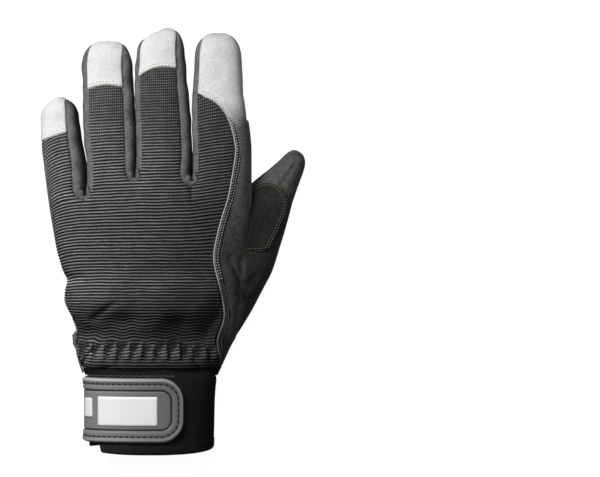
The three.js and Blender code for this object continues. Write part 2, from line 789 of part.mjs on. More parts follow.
function tipCap(finger, faces) {
  const rows = FINGER_STATIONS + DOME_TURNS.length - CAP_STATION;
  return netSheet(rows, COLUMNS, (r, c) => {
    const across = -1 + (2 * c) / COLUMNS;
    const place = fingerRow(finger, CAP_STATION + r, across);
    return faces.map((out) => {
      const p = backPoint(finger, place, across, out);
      return r === 0 ? { ...p, y: p.y + SEAM_GAP / 2 } : p;
    });
  }).geometry();
}

// A patch is a layer that follows the palm panel, cut out along its outline
function patchSolid(outline, top, layer) {
  const flat = outline.map((p) => [p.x, p.y]);
  const cookie = new wasm.CrossSection([flat], "EvenOdd").extrude(top + 5).translate([0, 0, -5]);
  return layer.intersect(cookie);
}

// Materials
const CLOTH = { metalness: 0 };
const knit = new THREE.MeshStandardMaterial({ ...CLOTH, color: "#343432", roughness: 0.9 });
const suede = new THREE.MeshStandardMaterial({ ...CLOTH, color: "#a39fa0", roughness: 0.95 });
const gussetCloth = new THREE.MeshStandardMaterial({ ...CLOTH, color: "#4d4d4b", roughness: 0.85 });
const darkSuede = new THREE.MeshStandardMaterial({ ...CLOTH, color: "#3a3938", roughness: 0.95 });
const elastic = new THREE.MeshStandardMaterial({ ...CLOTH, color: "#1c1c1b", roughness: 0.9 });
const moulded = new THREE.MeshStandardMaterial({ ...CLOTH, color: "#55585a", roughness: 0.5 });
const white = new THREE.MeshStandardMaterial({ ...CLOTH, color: "#efefec", roughness: 0.6 });

const glove = new THREE.Group();
function addPiece(name, geometry, material) {
  const piece = new THREE.Mesh(geometry, material);
  piece.name = name;
  glove.add(piece);
}

// A piece cut free of others that come too close
function freed(solid, ...others) {
  return geometryOf(others.reduce((rest, other) => rest.subtract(other), solid));
}

const handInside = handSolid(SEAM_GAP);
const thumbInside = thumbSolid(SEAM_GAP);
const patchedThumb = thumbSolid(SEAM_GAP + PATCH_OUT);
const patchLayer = manifoldOf(palmPanel([PATCH_OUT, SEAM_GAP]));

addPiece("back_panel", backPanel(PANEL), knit);
addPiece("palm_panel", freed(manifoldOf(palmPanel(PANEL)), thumbInside), suede);
for (const finger of [0, 1, 2]) {
  addPiece(`tip_cap_${FINGERS[finger].name}`, tipCap(finger, PANEL), suede);
  const pair = `${FINGERS[finger].name}_${FINGERS[finger + 1].name}`;
  addPiece(`gusset_${pair}`, gussetSheet(finger).geometry(), gussetCloth);
}

const thumbFront = thumbSheet(THUMB_SEAMS.inner, 360 + THUMB_SEAMS.outer, 9, ...PANEL);
const thumbBack = thumbSheet(THUMB_SEAMS.outer, THUMB_SEAMS.inner, 8, ...PANEL);
const patchRows = [22, 31, 40, 50, 60, 68].map((along) => ({ along, turn: 0 }));
const thumbPatch = thumbSheet(16, 126, 6, PATCH_OUT, SEAM_GAP, patchRows);
addPiece("thumb_front", freed(manifoldOf(thumbFront.geometry()), handInside), suede);
addPiece("thumb_back", freed(manifoldOf(thumbBack.geometry()), handInside), darkSuede);
addPiece("thumb_patch", freed(manifoldOf(thumbPatch.geometry()), handInside), darkSuede);

addPiece("palm_patch", freed(patchSolid(PALM_PATCH, PALM_PATCH_TOP, patchLayer), patchedThumb), suede);
addPiece("index_patch", freed(patchSolid(INDEX_PATCH, INDEX_PATCH_TOP, patchLayer), patchedThumb), suede);

const cuff = manifoldOf(cuffTube([0, -CUFF_WALL]));
const aroundCuff = manifoldOf(cuffTube([LEAST_GAP, -CUFF_WALL]));
addPiece("cuff", geometryOf(cuff), elastic);
addPiece("strap", freed(manifoldOf(strapSheet()), aroundCuff), moulded);
addPiece("strap_label", plateSheet(LABEL, 8), white);
addPiece("strap_tag", plateSheet(TAG, 4), white);

export default glove;
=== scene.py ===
# %% [markdown]
# # A rigger's work glove
# A knit-backed glove for the left hand, lying palm down. Its back is a ribbed knit, its palm, fingertips
# and thumb are synthetic suede, narrow cloth gussets join the fingers' sides, and a moulded strap crosses
# the elastic cuff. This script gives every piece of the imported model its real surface, in the same place.

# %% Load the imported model
from functools import lru_cache
from math import acos, cos, degrees, hypot, pi, radians, sin, sqrt

import bmesh
import bpy
from mathutils import Matrix, Vector, noise
from mathutils.bvhtree import BVHTree


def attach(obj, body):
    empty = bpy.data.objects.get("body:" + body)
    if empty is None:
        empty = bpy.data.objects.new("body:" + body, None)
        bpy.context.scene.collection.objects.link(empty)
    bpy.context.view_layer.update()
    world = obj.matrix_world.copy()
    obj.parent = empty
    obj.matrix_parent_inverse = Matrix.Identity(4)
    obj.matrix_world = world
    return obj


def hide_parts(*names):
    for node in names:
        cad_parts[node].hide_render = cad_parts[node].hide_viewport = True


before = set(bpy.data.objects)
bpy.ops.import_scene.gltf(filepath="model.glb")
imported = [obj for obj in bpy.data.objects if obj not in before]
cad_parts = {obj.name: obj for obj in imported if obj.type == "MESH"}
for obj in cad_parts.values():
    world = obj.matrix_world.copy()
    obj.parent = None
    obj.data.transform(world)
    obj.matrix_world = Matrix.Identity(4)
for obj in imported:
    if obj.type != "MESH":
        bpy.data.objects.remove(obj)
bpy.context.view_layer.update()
MM = 0.001
print("nodes in the model:", len(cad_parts))

# %% [markdown]
# The camera looks straight down on the glove from about a metre, a touch from the fingertips' side. The
# photograph holds a pair, so the glove lies left of the middle of the frame and the lens stays unshifted.
# At the height of the glove's sides one pixel is 0.588 mm.

# %% Camera
PIXEL = 0.588  # millimetres
FRAME_WIDE = 600 * PIXEL
FRAME_MIDDLE = (300, 238.5)  # pixels, as the next line
PALM_MIDDLE = (150, 270)
SIDE_HEIGHT = 20
LOOK_AT = Vector(((FRAME_MIDDLE[0] - PALM_MIDDLE[0]) * PIXEL, (PALM_MIDDLE[1] - FRAME_MIDDLE[1]) * PIXEL,
                  SIDE_HEIGHT)) * MM
SENSOR = 36
CAMERA_FAR = 2.4
CAMERA_TILT = radians(1.5)

camera_data = bpy.data.cameras.new("camera")
camera_data.sensor_width = SENSOR
camera_data.lens = SENSOR * CAMERA_FAR / (FRAME_WIDE * MM)
camera_data.clip_end = 20
camera = bpy.data.objects.new("camera", camera_data)
camera.location = LOOK_AT + Vector((0, sin(CAMERA_TILT), cos(CAMERA_TILT))) * CAMERA_FAR
camera.rotation_euler = (-CAMERA_TILT, 0, 0)
bpy.context.scene.collection.objects.link(camera)
bpy.context.scene.camera = camera
print("lens", round(camera_data.lens, 1), "mm")

# %% [markdown]
# The glove's form is worked out from small tables in millimetres. Each row is a section: where its left
# and right sides are, the height of its middle, and how far it reaches above and below. A smooth curve
# runs through the rows, so that no kink shows on the outline.

# %% Tables of the form
WRIST_Y = -62
HAND = (  # y, left, right, middle, above, below
    (-62, -39.0, 38.9, 19.6, 18.0, 17.6),
    (-53, -41.9, 43.0, 19.6, 17.2, 18.4),
    (-44, -43.7, 47.2, 19.8, 16.8, 18.8),
    (-35, -44.0, 51.2, 20.0, 17.6, 19.0),
    (-29, -46.0, 54.0, 20.0, 18.2, 19.2),
    (-20, -49.2, 56.6, 20.0, 19.2, 19.4),
    (-13, -49.0, 57.2, 20.0, 19.2, 19.4),
    (-7.5, -48.4, 57.6, 20.0, 19.2, 19.4),
    (-1, -51.2, 58.0, 20.0, 19.2, 19.5),
    (12, -54.7, 57.8, 20.0, 18.9, 19.5),
    (27, -57.0, 57.8, 20.5, 18.0, 18.5),
    (38, -58.8, 58.2, 21.5, 16.4, 16.0),
    (50, -60.9, 58.5, 22.5, 14.6, 13.5),
    (58, -61.5, 58.5, 23.0, 13.6, 12.5),
)
FINGERS = (  # name, rows of y, left, right, middle, half height, then the round tip's length
    ("little", ((38, -58.8, -38.8, 21.5, 11.4), (50, -60.9, -37.0, 19.4, 10.8), (64, -62.4, -37.3, 16.6, 10.0),
                (74, -63.5, -39.6, 14.2, 9.6), (88, -64.1, -41.8, 9.4, 9.5)), 14.4),
    ("ring", ((41, -37.4, -9.6, 23.0, 12.4), (50, -36.5, -9.0, 22.0, 12.0), (64, -36.8, -7.9, 19.8, 11.2),
              (74, -38.3, -7.9, 18.0, 10.7), (85, -39.2, -8.2, 16.0, 10.4), (100, -39.4, -9.1, 13.0, 10.2),
              (119, -40.2, -10.5, 9.7, 9.9)), 15),
    ("middle", ((50, -8.5, 23.7, 23.2, 12.6), (64, -7.4, 24.9, 21.2, 11.8), (74, -7.4, 24.9, 19.4, 11.2),
                (85, -7.7, 24.4, 17.6, 10.8), (100, -8.6, 23.2, 14.8, 10.4), (112, -8.6, 21.8, 12.4, 10.2),
                (127, -7.6, 20.6, 9.8, 10.0)), 15),
    ("index", ((46, 24.2, 58.2, 22.8, 12.6), (64, 25.4, 58.2, 20.6, 11.8), (74, 25.4, 58.0, 18.8, 11.2),
               (85, 24.9, 56.8, 17.0, 10.8), (100, 25.0, 55.0, 14.2, 10.4), (112, 25.9, 54.2, 12.0, 10.2),
               (125, 26.5, 53.9, 9.7, 9.9)), 14.4),
)
KNUCKLES = ((0, -58.0, 37.0), (1, -38.8, 41.2), (2, -9.8, 51.9), (3, 23.9, 49.8), (4, 58.2, 45.6))  # u, x, y
SUEDE_EDGE = (  # y and x of the seam between the knit and the suede of the index side
    (-62, 41.2), (-51.7, 41.5), (-44.4, 39.7), (-39, 40), (-27, 43.9), (-11, 41.5), (4.7, 37.9), (12.3, 38),
    (30.6, 42.3), (41.7, 45.9), (53.9, 48.2), (69.4, 50.6), (76, 49.9), (84.2, 47.9), (91, 45.2),
    (96.4, 41.1), (100.4, 36), (103, 29),
)
print("tables:", len(HAND), "hand sections,", sum(len(f[1]) for f in FINGERS), "finger sections")

# %% [markdown]
# Between a table's rows the values follow a smooth curve that passes through every row. A few short helpers
# mix, limit and ease numbers, and one gives smooth noise. They serve all that follows.


# %% Reading the tables
def mix(a, b, share):
    return a + (b - a) * share


def clamp(value, low=0.0, high=1.0):
    return min(high, max(low, value))


def smooth(low, high, value):
    t = clamp((value - low) / (high - low))
    return t * t * (3 - 2 * t)


def wander(x, y, z):
    """Smooth noise, the same in each run."""
    return noise.noise(Vector((x, y, z)))


def at(rows, y):
    """The columns at y, on a smooth curve through a table's rows."""
    if y <= rows[0][0]:
        return rows[0][1:]
    if y >= rows[-1][0]:
        return rows[-1][1:]
    i = next(k for k in range(1, len(rows)) if rows[k][0] >= y)
    a, b, before, after = rows[i - 1], rows[i], rows[max(i - 2, 0)], rows[min(i + 1, len(rows) - 1)]
    h = b[0] - a[0]
    t = (y - a[0]) / h
    values = []
    for k in range(1, len(a)):
        slope_a = (b[k] - before[k]) / (b[0] - before[0]) * h
        slope_b = (after[k] - a[k]) / (after[0] - a[0]) * h
        values.append((2 * t**3 - 3 * t**2 + 1) * a[k] + (t**3 - 2 * t**2 + t) * slope_a
                      + (3 * t**2 - 2 * t**3) * b[k] + (t**3 - t**2) * slope_b)
    return tuple(values)


def knuckle_at(u):
    """The line on which the fingers begin, straight between one crotch and the next."""
    i = min(3, int(u))
    a, b = KNUCKLES[i], KNUCKLES[i + 1]
    return mix(a[1], b[1], u - i), mix(a[2], b[2], u - i)


@lru_cache(None)
def hand_section(y):
    left, right, middle, above, below = at(HAND, y)
    return (left + right) / 2, (right - left) / 2, middle, above, below


@lru_cache(None)
def finger_section(finger, y):
    left, right, middle, half = at(FINGERS[finger][1], y)
    return (left + right) / 2, (right - left) / 2, middle, half, half


print("palm width", [round(v, 1) for v in hand_section(38.0)[:2]])

# %% [markdown]
# A section is a squarish round, and a point on it is found by an angle: 0 at the thumb's side, 90 on the
# back and 270 in the palm. Lower down the hand's section rules, and above the crotches each finger's own.
# Between them the two melt together, which makes the valleys between the knuckles.


# %% Points on the hand and on the fingers
HAND_POWER, PALM_POWER, FINGER_POWER = 2.35, 2.0, 2.3  # 2 is an ellipse, and more is squarer
OUTER_EDGE = 184  # degrees, as the next three lines
INDEX_LEFT = 143
BACK_EDGES = ((OUTER_EDGE, 74), (139, 57), (147, 55), (INDEX_LEFT, 47))  # where the back's panels end
PALM_EDGES = ((OUTER_EDGE, 40), (220, 40), (220, 40), (220, 0))
PATCH_OUT = 1.56  # how far the palm's patch stands out, which keeps the palm that far above the floor
CROTCH_OPENING = 7.5
GUSSET_END = 74  # degrees round the tip at which a gusset runs out


def section_point(section, angle, out, power, low_power):
    x, half, z, above, below = section
    c, s = cos(radians(angle)), sin(radians(angle))
    p = low_power if s < 0 else power
    height = below if s < 0 else above
    dx = (half + out) * abs(c) ** (2 / p)
    dz = (height + out) * abs(s) ** (2 / p)
    return x + (dx if c > 0 else -dx), z + (dz if s > 0 else -dz)


def hand_point(y, angle, out):
    x, z = section_point(hand_section(y), angle, out, HAND_POWER, PALM_POWER)
    return x, max(z, PATCH_OUT - out, 0)


def finger_point(finger, y, turn, angle, out):
    x, half, z, above, below = finger_section(finger, y)
    t = radians(turn)
    wide, high = cos(t * 0.86), max(cos(t), 0.02)
    section = (x, (half + out) * wide, z, (above + out) * high, (below + out) * high)
    px, pz = section_point(section, angle, 0, FINGER_POWER, FINGER_POWER)
    return px, y + (FINGERS[finger][2] + out) * sin(t), max(pz, -min(out, 0))


def angle_at(section, x, power=HAND_POWER):
    """The angle at which a section's back lies at x."""
    share = clamp((x - section[0]) / section[1], -1, 1)
    return degrees(acos((1 if share > 0 else -1) * abs(share) ** (power / 2)))


def hand_angle(u, back):
    """The angle, the same at every height, of the line that runs down the hand from a crotch."""
    x, y = knuckle_at(u)
    angle = angle_at(hand_section(y), x, HAND_POWER if back else PALM_POWER)
    return angle if back else 360 - angle


def suede_angle(section, y, turn):
    """Where the knit ends on the index side and the suede begins."""
    if turn > 0 or y >= SUEDE_EDGE[-1][0]:
        return INDEX_LEFT
    return min(INDEX_LEFT, angle_at(section, at(SUEDE_EDGE, y)[0]))


def narrowing(turn, finger=1):
    """The share of a gusset's width that is left at a turn round the tip."""
    return 1 - (clamp(turn / 88) ** 9 if finger == 0 else clamp(turn / GUSSET_END) ** 2.6)


def narrowed(angle, turn, finger=1):
    """Towards a tip the gussets narrow, and the back's edge and the palm's run together."""
    flat = 180 if 90 < angle < 270 else 360 if angle >= 270 else 0
    return flat + (angle - flat) * narrowing(turn, finger)


def crotch_opening(above):
    """How far the fingers have parted at a distance above the crotch, in a round-ended slit."""
    return clamp(above / CROTCH_OPENING) ** 0.42


def melt(on_hand, on_finger, above, turn):
    """A point between one on the hand and one on a finger, by its height above the crotch."""
    opening = 1 if turn > 0 else crotch_opening(above)
    height = 1 if turn > 0 else smooth(-16, 8, above)
    x, z = mix(on_hand[0], on_finger[0], opening), mix(on_hand[1], on_finger[2], height)
    return Vector((x, on_finger[1], z))


def panel_point(back, finger, y, turn, across, out, knuckle=None):
    """A point of the back's panels or of the palm's; across is -1 on a finger's left edge, 1 on its right."""
    share = (across + 1) / 2
    knuckle = knuckle_at(finger + share)[1] if knuckle is None else knuckle
    left, right = (BACK_EDGES if back else PALM_EDGES)[finger]
    left, right = (narrowed(angle, turn, finger) for angle in (left, right if back else 360 - right))
    hand_left = OUTER_EDGE if finger == 0 else hand_angle(finger, back)
    hand_right = hand_angle(finger + 1, back)
    if finger == 3:
        edge = suede_angle(finger_section(3, y), y, turn)
        hand_edge = suede_angle(hand_section(y), y, turn)
        right = edge if back else 360 + (narrowed(edge, turn) if edge > 90 else edge)
        hand_right = hand_edge if back else 360 + hand_edge
    on_finger = finger_point(finger, y, turn, mix(left, right, share), out)
    on_hand = hand_point(y, mix(hand_left, hand_right, share), out)
    return melt(on_hand, on_finger, y - knuckle, turn)


print("a point on the ring finger's back:", [round(v, 1) for v in panel_point(True, 1, 90, 0, 0, 0)])

# %% [markdown]
# Materials are written as sums. A small class wraps a node's socket, so that `ridge * 0.3 + 0.1` adds the
# Math nodes that work it out, and one method adds any other node. Colours are blended with Mix nodes.


# %% A small language for materials
def operator(operation, swapped=False):
    def apply(self, other):
        values = (other, self) if swapped else (self, other)
        return self.paint.node("ShaderNodeMath", {"operation": operation}, dict(enumerate(values)))
    return apply


class Socket:
    """An output of a node, which sums can be written with."""
    __add__, __radd__ = operator("ADD"), operator("ADD", True)
    __sub__, __rsub__ = operator("SUBTRACT"), operator("SUBTRACT", True)
    __mul__, __rmul__ = operator("MULTIPLY"), operator("MULTIPLY", True)
    __truediv__, __pow__ = operator("DIVIDE"), operator("POWER")

    def __init__(self, paint, socket):
        self.paint, self.socket = paint, socket


class Paint:
    """A material with a Principled shader, and the nodes that feed it."""

    def __init__(self, name, **constants):
        self.material = bpy.data.materials.new(name)
        self.material.use_nodes = True
        self.tree = self.material.node_tree
        self.shader = next(n for n in self.tree.nodes if n.type == "BSDF_PRINCIPLED")
        for socket, value in constants.items():
            self.shader.inputs[socket.replace("_", " ")].default_value = value

    def node(self, kind, settings=None, inputs=None, output=0):
        n = self.tree.nodes.new(kind)
        for key, value in (settings or {}).items():
            setattr(n, key, value)
        for key, value in (inputs or {}).items():
            if isinstance(value, Socket):
                self.tree.links.new(value.socket, n.inputs[key])
            else:
                n.inputs[key].default_value = value
        return Socket(self, n.outputs[output])

    def feed(self, **links):
        """Link the shader's inputs, and return the finished material."""
        for name, value in links.items():
            self.tree.links.new(value.socket, self.shader.inputs[name.replace("_", " ")])
        return self.material

    def place(self):
        return self.node("ShaderNodeTexCoord", output="Object")

    def xyz(self, vector):
        parts = self.node("ShaderNodeSeparateXYZ", {}, {0: vector}).socket.node
        return [Socket(self, output) for output in parts.outputs]

    def uv(self, name):
        return self.xyz(self.node("ShaderNodeUVMap", {"uv_map": name}))

    def rgb(self, red, green=None, blue=None):
        """A colour from three numbers, or a grey from one."""
        parts = (red, red, red) if green is None else (red, green, blue)
        return self.node("ShaderNodeCombineColor", {}, dict(enumerate(parts)))

    def noise(self, vector, scale, detail=2.0, rough=0.5):
        return self.node("ShaderNodeTexNoise", {}, {"Vector": vector, "Scale": scale, "Detail": detail,
                                                   "Roughness": rough})

    def blend(self, a, b, factor, way="MIX"):
        settings = {"data_type": "RGBA", "blend_type": way}
        return self.node("ShaderNodeMix", settings, {0: factor, 6: a, 7: b}, 2)

    def shaded(self, colour, shade):
        return self.blend(colour, self.rgb(shade), 1.0, "MULTIPLY")

    def step(self, value, low, high, to_low=0.0, to_high=1.0):
        return self.node("ShaderNodeMapRange", {"interpolation_type": "SMOOTHSTEP"},
                         dict(enumerate((value, low, high, to_low, to_high))))

    def wave(self, value):
        return self.node("ShaderNodeMath", {"operation": "SINE"}, {0: value * (2 * pi)}) * 0.5 + 0.5

    def bump(self, height, strength, distance):
        return self.node("ShaderNodeBump", {}, {"Strength": strength, "Distance": distance, "Height": height})


def grey(v, warm=0.0):
    return (v * (1 + warm), v, v * (1 - warm), 1)


print("the material language is ready")

# %% [markdown]
# The knit is dark, with paler yarn on each rib's crest, and its valleys are nearly black, partly the yarn and
# partly painted shade. The ribs themselves are real relief, and each vertex carries its rib number in the UV
# map's second value. The material lightens the crest by it and crosses it with the fine upright wales of the
# knit. Wear and fibre are soft noise. Painted light falls from the upper left to the lower right, the knit's
# bottom edge is painted nearly black as shade under the strap, and a second UV map holds the painted shade
# of the folds.


# %% The knit's material
def knit_material():
    p = Paint("ribbed_knit", Roughness=0.8, Specular_IOR_Level=0.2)
    u, v, _ = p.uv("rows")
    painted_fold_shade, _, _ = p.uv("folds")
    where = p.place()
    x, y, z = p.xyz(where)
    # painted shade: the crest is paler yarn, and the valleys between the ribs are painted nearly black as
    # shade
    crest = p.wave(v + 0.25) ** 2.3
    wale = p.wave(u / 1.2)
    streak = p.noise(where, 170, 2)
    fibre = p.noise(where, 900, 3, 0.8)
    cloud = p.noise(where, 22, 3)
    # painted light: lighter to the upper left and darker to the lower right, with wear and fibre noise
    light = p.step(x - y * 0.35, 0.075, -0.085, 0.056, 0.325) * (0.72 + cloud * 0.56) * (0.6 + streak * 0.8)
    # painted shade: nearly black at the bottom edge under the strap, and the painted shade of the folds
    light = light * p.step(y, -0.0595, -0.0560, 0.12, 1.0) * painted_fold_shade
    fine = p.step(y, 0.055, 0.107, 0.12, 0.8) + p.step(y, -0.041, -0.047, 0, 0.3)
    yarn = (crest * (1 - fine * 0.75) + fine * 0.15) * (1 - fine + fine * wale * 1.7) * (0.25 + fibre * 1.5)
    lit_yarn = yarn * light
    dark_yarn = (0.0030, 0.0030, 0.0028)
    tone = [dark + lit_yarn * part for dark, part in zip(dark_yarn, (1, 1, 0.97))]
    return p.feed(Base_Color=p.rgb(*tone), Roughness=0.72 + fibre * 0.2,
                  Normal=p.bump(wale * 0.6 + fibre * 0.7, 0.6, 0.0003))


KNIT = knit_material()
print("made", KNIT.name)

# %% [markdown]
# Synthetic suede is a dense short nap: matt, with soft clouds where the nap was stroked one way or the
# other, and a fine grain. The same recipe serves all the suede, in four tones: nearly white on the
# fingertips, warm grey in the palm, charcoal along the index side and on the thumb, black on its patch.


# %% The suede's material
WARM_GREY = grey(0.34, 0.015)


def suede_material(name, tone, warm=0.01, speckle=0.25, bump=0.35, clouds=0.35):
    """Suede in one tone, or in the tone and the strength of its grain that a function gives."""
    p = Paint(name, Roughness=0.95, Sheen_Weight=0.12, Sheen_Roughness=0.6, Specular_IOR_Level=0.2)
    where = p.place()
    nap = p.noise(where, 1500, 2, 0.8)
    grain = p.noise(where, 520, 4, 0.75)
    cloud = p.noise(where, 60, 5, 0.65)
    base, strength = tone(p, *p.xyz(where)) if callable(tone) else (grey(tone, warm), 1)
    shade = 1 + ((nap + grain - 1) * speckle + (cloud - 0.5) * clouds) * strength
    return p.feed(Base_Color=p.shaded(base, shade),
                  Normal=p.bump(nap * 0.4 + grain * 0.8 + cloud * 2.0, bump, 0.0004))


def palm_tone(p, x, y, z):
    """Warm grey in the palm, charcoal up the index side with the painted shade of its folds, nearly white on
    the index's tip.
    """
    side = p.step(z, 0.0115, 0.016) * p.step(x, 0.020, 0.034)
    low = p.step(x + y * 0.6, 0.016, 0.034, 0.35, 1.0)
    bright = p.step(y, 0.010, 0.050, 0.04032, 0.1064) * low * p.step(y, -0.010, -0.030, 1.0, 1.5)
    # painted shade: the charcoal is darkened by the folds UV map
    charcoal = p.shaded(p.rgb(bright, bright * 0.98, bright * 0.95), p.uv("folds")[0])
    tip = p.step(y - x * 0.3, 0.062, 0.088) * p.step(z, 0.003, 0.007)
    tone = p.blend(p.blend(WARM_GREY, charcoal, side), grey(0.64, 0.004), tip)
    return tone, 0.3 + side * 0.7 - tip * side * 0.75


def thumb_tone(p, x, y, z):
    """Charcoal at the thumb's tip, nearly black further down."""
    return p.blend(grey(0.017, 0.02), grey(0.078, 0.02), p.step(y, 0.028, 0.056)), 1


def thumb_patch_tone(p, x, y, z):
    """Black beside the hand, and a little paler towards the thumb's outer edge."""
    return p.blend(grey(0.0075, 0.02), grey(0.026, 0.03), p.step(x, 0.058, 0.080)), 1


def thumb_front_tone(p, x, y, z):
    """Warm grey below, and charcoal where the piece's edge comes up beside the thumb's back."""
    return p.blend(WARM_GREY, grey(0.03, 0.02), p.step(z, 0.0035, 0.006)), 0.5


PALM_SUEDE = suede_material("palm_suede", palm_tone, speckle=2.6, clouds=1.9)
TIP_SUEDE = suede_material("tip_suede", 0.69, 0.003, 0.42, 0.3, 0.25)
PATCH_SUEDE = suede_material("patch_suede", 0.32, 0.015, 0.6)
THUMB_FRONT_SUEDE = suede_material("thumb_front_suede", thumb_front_tone, speckle=1.2, clouds=0.6)
DARK_SUEDE = suede_material("dark_suede", thumb_tone, speckle=2.6, clouds=2.0)
BLACK_SUEDE = suede_material("black_suede", thumb_patch_tone, speckle=2.8, clouds=2.6)
print("suedes:", [m.name for m in (PALM_SUEDE, TIP_SUEDE, PATCH_SUEDE, DARK_SUEDE, BLACK_SUEDE)])

# %% [markdown]
# The gussets are a plain tricot cloth, the cuff is black elastic with cross ribs, the strap is soft moulded
# rubber, and the label is a smooth white plate. Each has its own grain, because a flat colour looks like
# paint.


# %% Cloth, elastic, rubber, label and thread
CLOTH_PITCH = 0.0008


def cloth_material(name, tone, with_painted_shade=False):
    """Plain cloth, and painted shade where the mesh carries one in its folds UV map."""
    p = Paint(name, Roughness=0.85)
    where = p.place()
    x, y, z = p.xyz(where)
    weave = p.wave((x + z) / CLOTH_PITCH) * p.wave(y / CLOTH_PITCH)
    fibre = p.noise(where, 600, 3, 0.7)
    cloud = p.noise(where, 110, 3, 0.6)
    shade = 0.85 + weave * 0.25 + (fibre - 0.5) * 1.7 + (cloud - 0.5) * 0.9
    if with_painted_shade:
        shade = shade * p.uv("folds")[0]
    return p.feed(Base_Color=p.shaded(grey(tone, 0.01), shade),
                  Normal=p.bump(weave + fibre * 0.5, 0.4, 0.0003))


def elastic_material():
    p = Paint("black_elastic", Roughness=0.8, Specular_IOR_Level=0.2)
    u, v, _ = p.uv("rows")
    where = p.place()
    x, y, z = p.xyz(where)
    cord = p.wave(v / 1.1)
    wale = p.wave(u / 1.3)
    fibre = p.noise(where, 700, 3, 0.7)
    low = p.step(y, -0.0995, -0.1035, 0.0, 0.010) * p.step(x, 0.01, -0.03)
    shade = (0.0035 + low + cord * wale * 0.007) * (0.6 + fibre * 0.8)
    return p.feed(Base_Color=p.rgb(shade, shade * 0.99, shade * 0.97), Roughness=0.7 + fibre * 0.2,
                  Normal=p.bump(cord + wale * 0.4 + fibre * 0.3, 0.5, 0.0003))


def rubber_material():
    """A painted highlight on what is raised, painted shade, nearly black, in the fine groove, and painted
    light to the left.
    """
    p = Paint("moulded_rubber", Roughness=0.5, Specular_IOR_Level=0.4)
    where = p.place()
    x, y, z = p.xyz(where)
    height = p.uv("relief")[0]
    grain = p.noise(where, 1200, 3, 0.6)
    cloud = p.noise(where, 60, 3)
    # painted highlight on the raised rim and painted shade in the grooves, from the tone in the relief UV map
    face = p.blend(grey(0.175, -0.01), grey(0.36, -0.005), p.step(height, 0.1, 0.9))
    base = p.blend(grey(0.008), face, p.step(height, -0.35, 0.0))
    # painted light: lighter to the left
    shade = (0.8 + grain * 0.2 + cloud * 0.2) * p.step(x, 0.015, -0.038, 0.88, 1.38)
    return p.feed(Base_Color=p.shaded(base, shade), Roughness=0.42 + grain * 0.2,
                  Normal=p.bump(grain, 0.12, 0.0002))


def piping_material():
    p = Paint("piping_suede", Roughness=0.9)
    where = p.place()
    x, y, z = p.xyz(where)
    grain = p.noise(where, 900, 3, 0.7)
    tone = p.blend(grey(0.12, 0.01), grey(0.45, 0.01), p.step(y, -0.045, 0.010))
    return p.feed(Base_Color=p.blend(tone, grey(0.16), grain * 0.4), Normal=p.bump(grain, 0.3, 0.0002))


def plain_material(name, colour, rough, grain_scale, strength):
    p = Paint(name, Roughness=rough)
    grain = p.noise(p.place(), grain_scale, 3, 0.6)
    dark = (*[part * 0.72 for part in colour[:3]], 1)
    return p.feed(Base_Color=p.blend(colour, dark, grain * strength), Normal=p.bump(grain, 0.2, 0.0002))


def thread(name, colour, strength, rough=0.7):
    return plain_material(f"{name}_thread", (*colour, 1), rough, 3000, strength)


GUSSET_CLOTH = cloth_material("gusset_tricot", 0.115)
TRICOT_WITH_PAINTED_SHADE = cloth_material("tricot_painted_shade", 0.125, True)
ELASTIC = elastic_material()
RUBBER = rubber_material()
PIPING = piping_material()
LABEL = plain_material("blank_label", grey(0.98), 0.45, 600, 0.05)
WHITE_THREAD = thread("white", (0.92, 0.90, 0.80), 0.3)
PALE_THREAD = thread("pale", (0.58, 0.55, 0.45), 0.8)
OLIVE_THREAD = thread("olive", (0.17, 0.165, 0.085), 0.7)
# dark and grey thread also serve as painted shade: in the needle holes, the seam's sunk line and the lower
# side stitches
DARK_THREAD_AND_SHADE = thread("dark", (0.008, 0.008, 0.008), 0.5, 0.8)
GREY_THREAD_AND_SHADE = thread("grey", (0.19, 0.19, 0.18), 0.6)
print("materials in the scene:", len(bpy.data.materials))

# %% [markdown]
# Each panel starts as a flat grid of faces, as a pattern piece starts flat. Its columns run across the
# fingers and its rows up the hand. The slits between the fingers are cut by splitting the grid's edges,
# rows above a shorter finger are deleted, and each vertex then moves to its place on the form.


# %% Helpers for pieces
def add_piece(bm, name, material, replaces=(), thick=None):
    """Finish a bmesh in millimetres as a piece of the glove in metres.
    """
    bmesh.ops.scale(bm, vec=(MM, MM, MM), verts=bm.verts)
    mesh = bpy.data.meshes.new(name)
    bm.to_mesh(mesh)
    bm.free()
    mesh.materials.append(material)
    mesh.polygons.foreach_set("use_smooth", [True] * len(mesh.polygons))
    piece = bpy.data.objects.new(name, mesh)
    bpy.context.scene.collection.objects.link(piece)
    if thick:
        wall = piece.modifiers.new("wall", "SOLIDIFY")
        wall.thickness, wall.offset = thick * MM, -1
    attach(piece, "root")
    if replaces:
        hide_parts(*replaces)
    print(f"{name}: {len(mesh.polygons)} faces")


def face_out(bm, centre):
    """Turn an open sheet's faces away from a centre line, found from each face's middle."""
    total = sum(f.normal.dot(f.calc_center_median() - centre(f.calc_center_median())) * f.calc_area()
                for f in bm.faces)
    if total < 0:
        bmesh.ops.reverse_faces(bm, faces=bm.faces)


def sheet_piece(bm, centre, name, material, node, thick):
    """Turn an open sheet outwards and finish it as a piece. Its surface is given back, to lay others on."""
    bm.normal_update()
    face_out(bm, centre)
    surface = BVHTree.FromBMesh(bm)
    add_piece(bm, name, material, [node], thick)
    return surface


def grid(columns, rows):
    """A grid of faces, with each vertex's column and row kept in two integer layers."""
    bm = bmesh.new()
    bmesh.ops.create_grid(bm, x_segments=columns, y_segments=rows, size=1)
    column, row = bm.verts.layers.int.new("column"), bm.verts.layers.int.new("row")
    for v in bm.verts:
        v[column] = round((v.co.x + 1) / 2 * columns)
        v[row] = round((v.co.y + 1) / 2 * rows)
    return bm, column, row


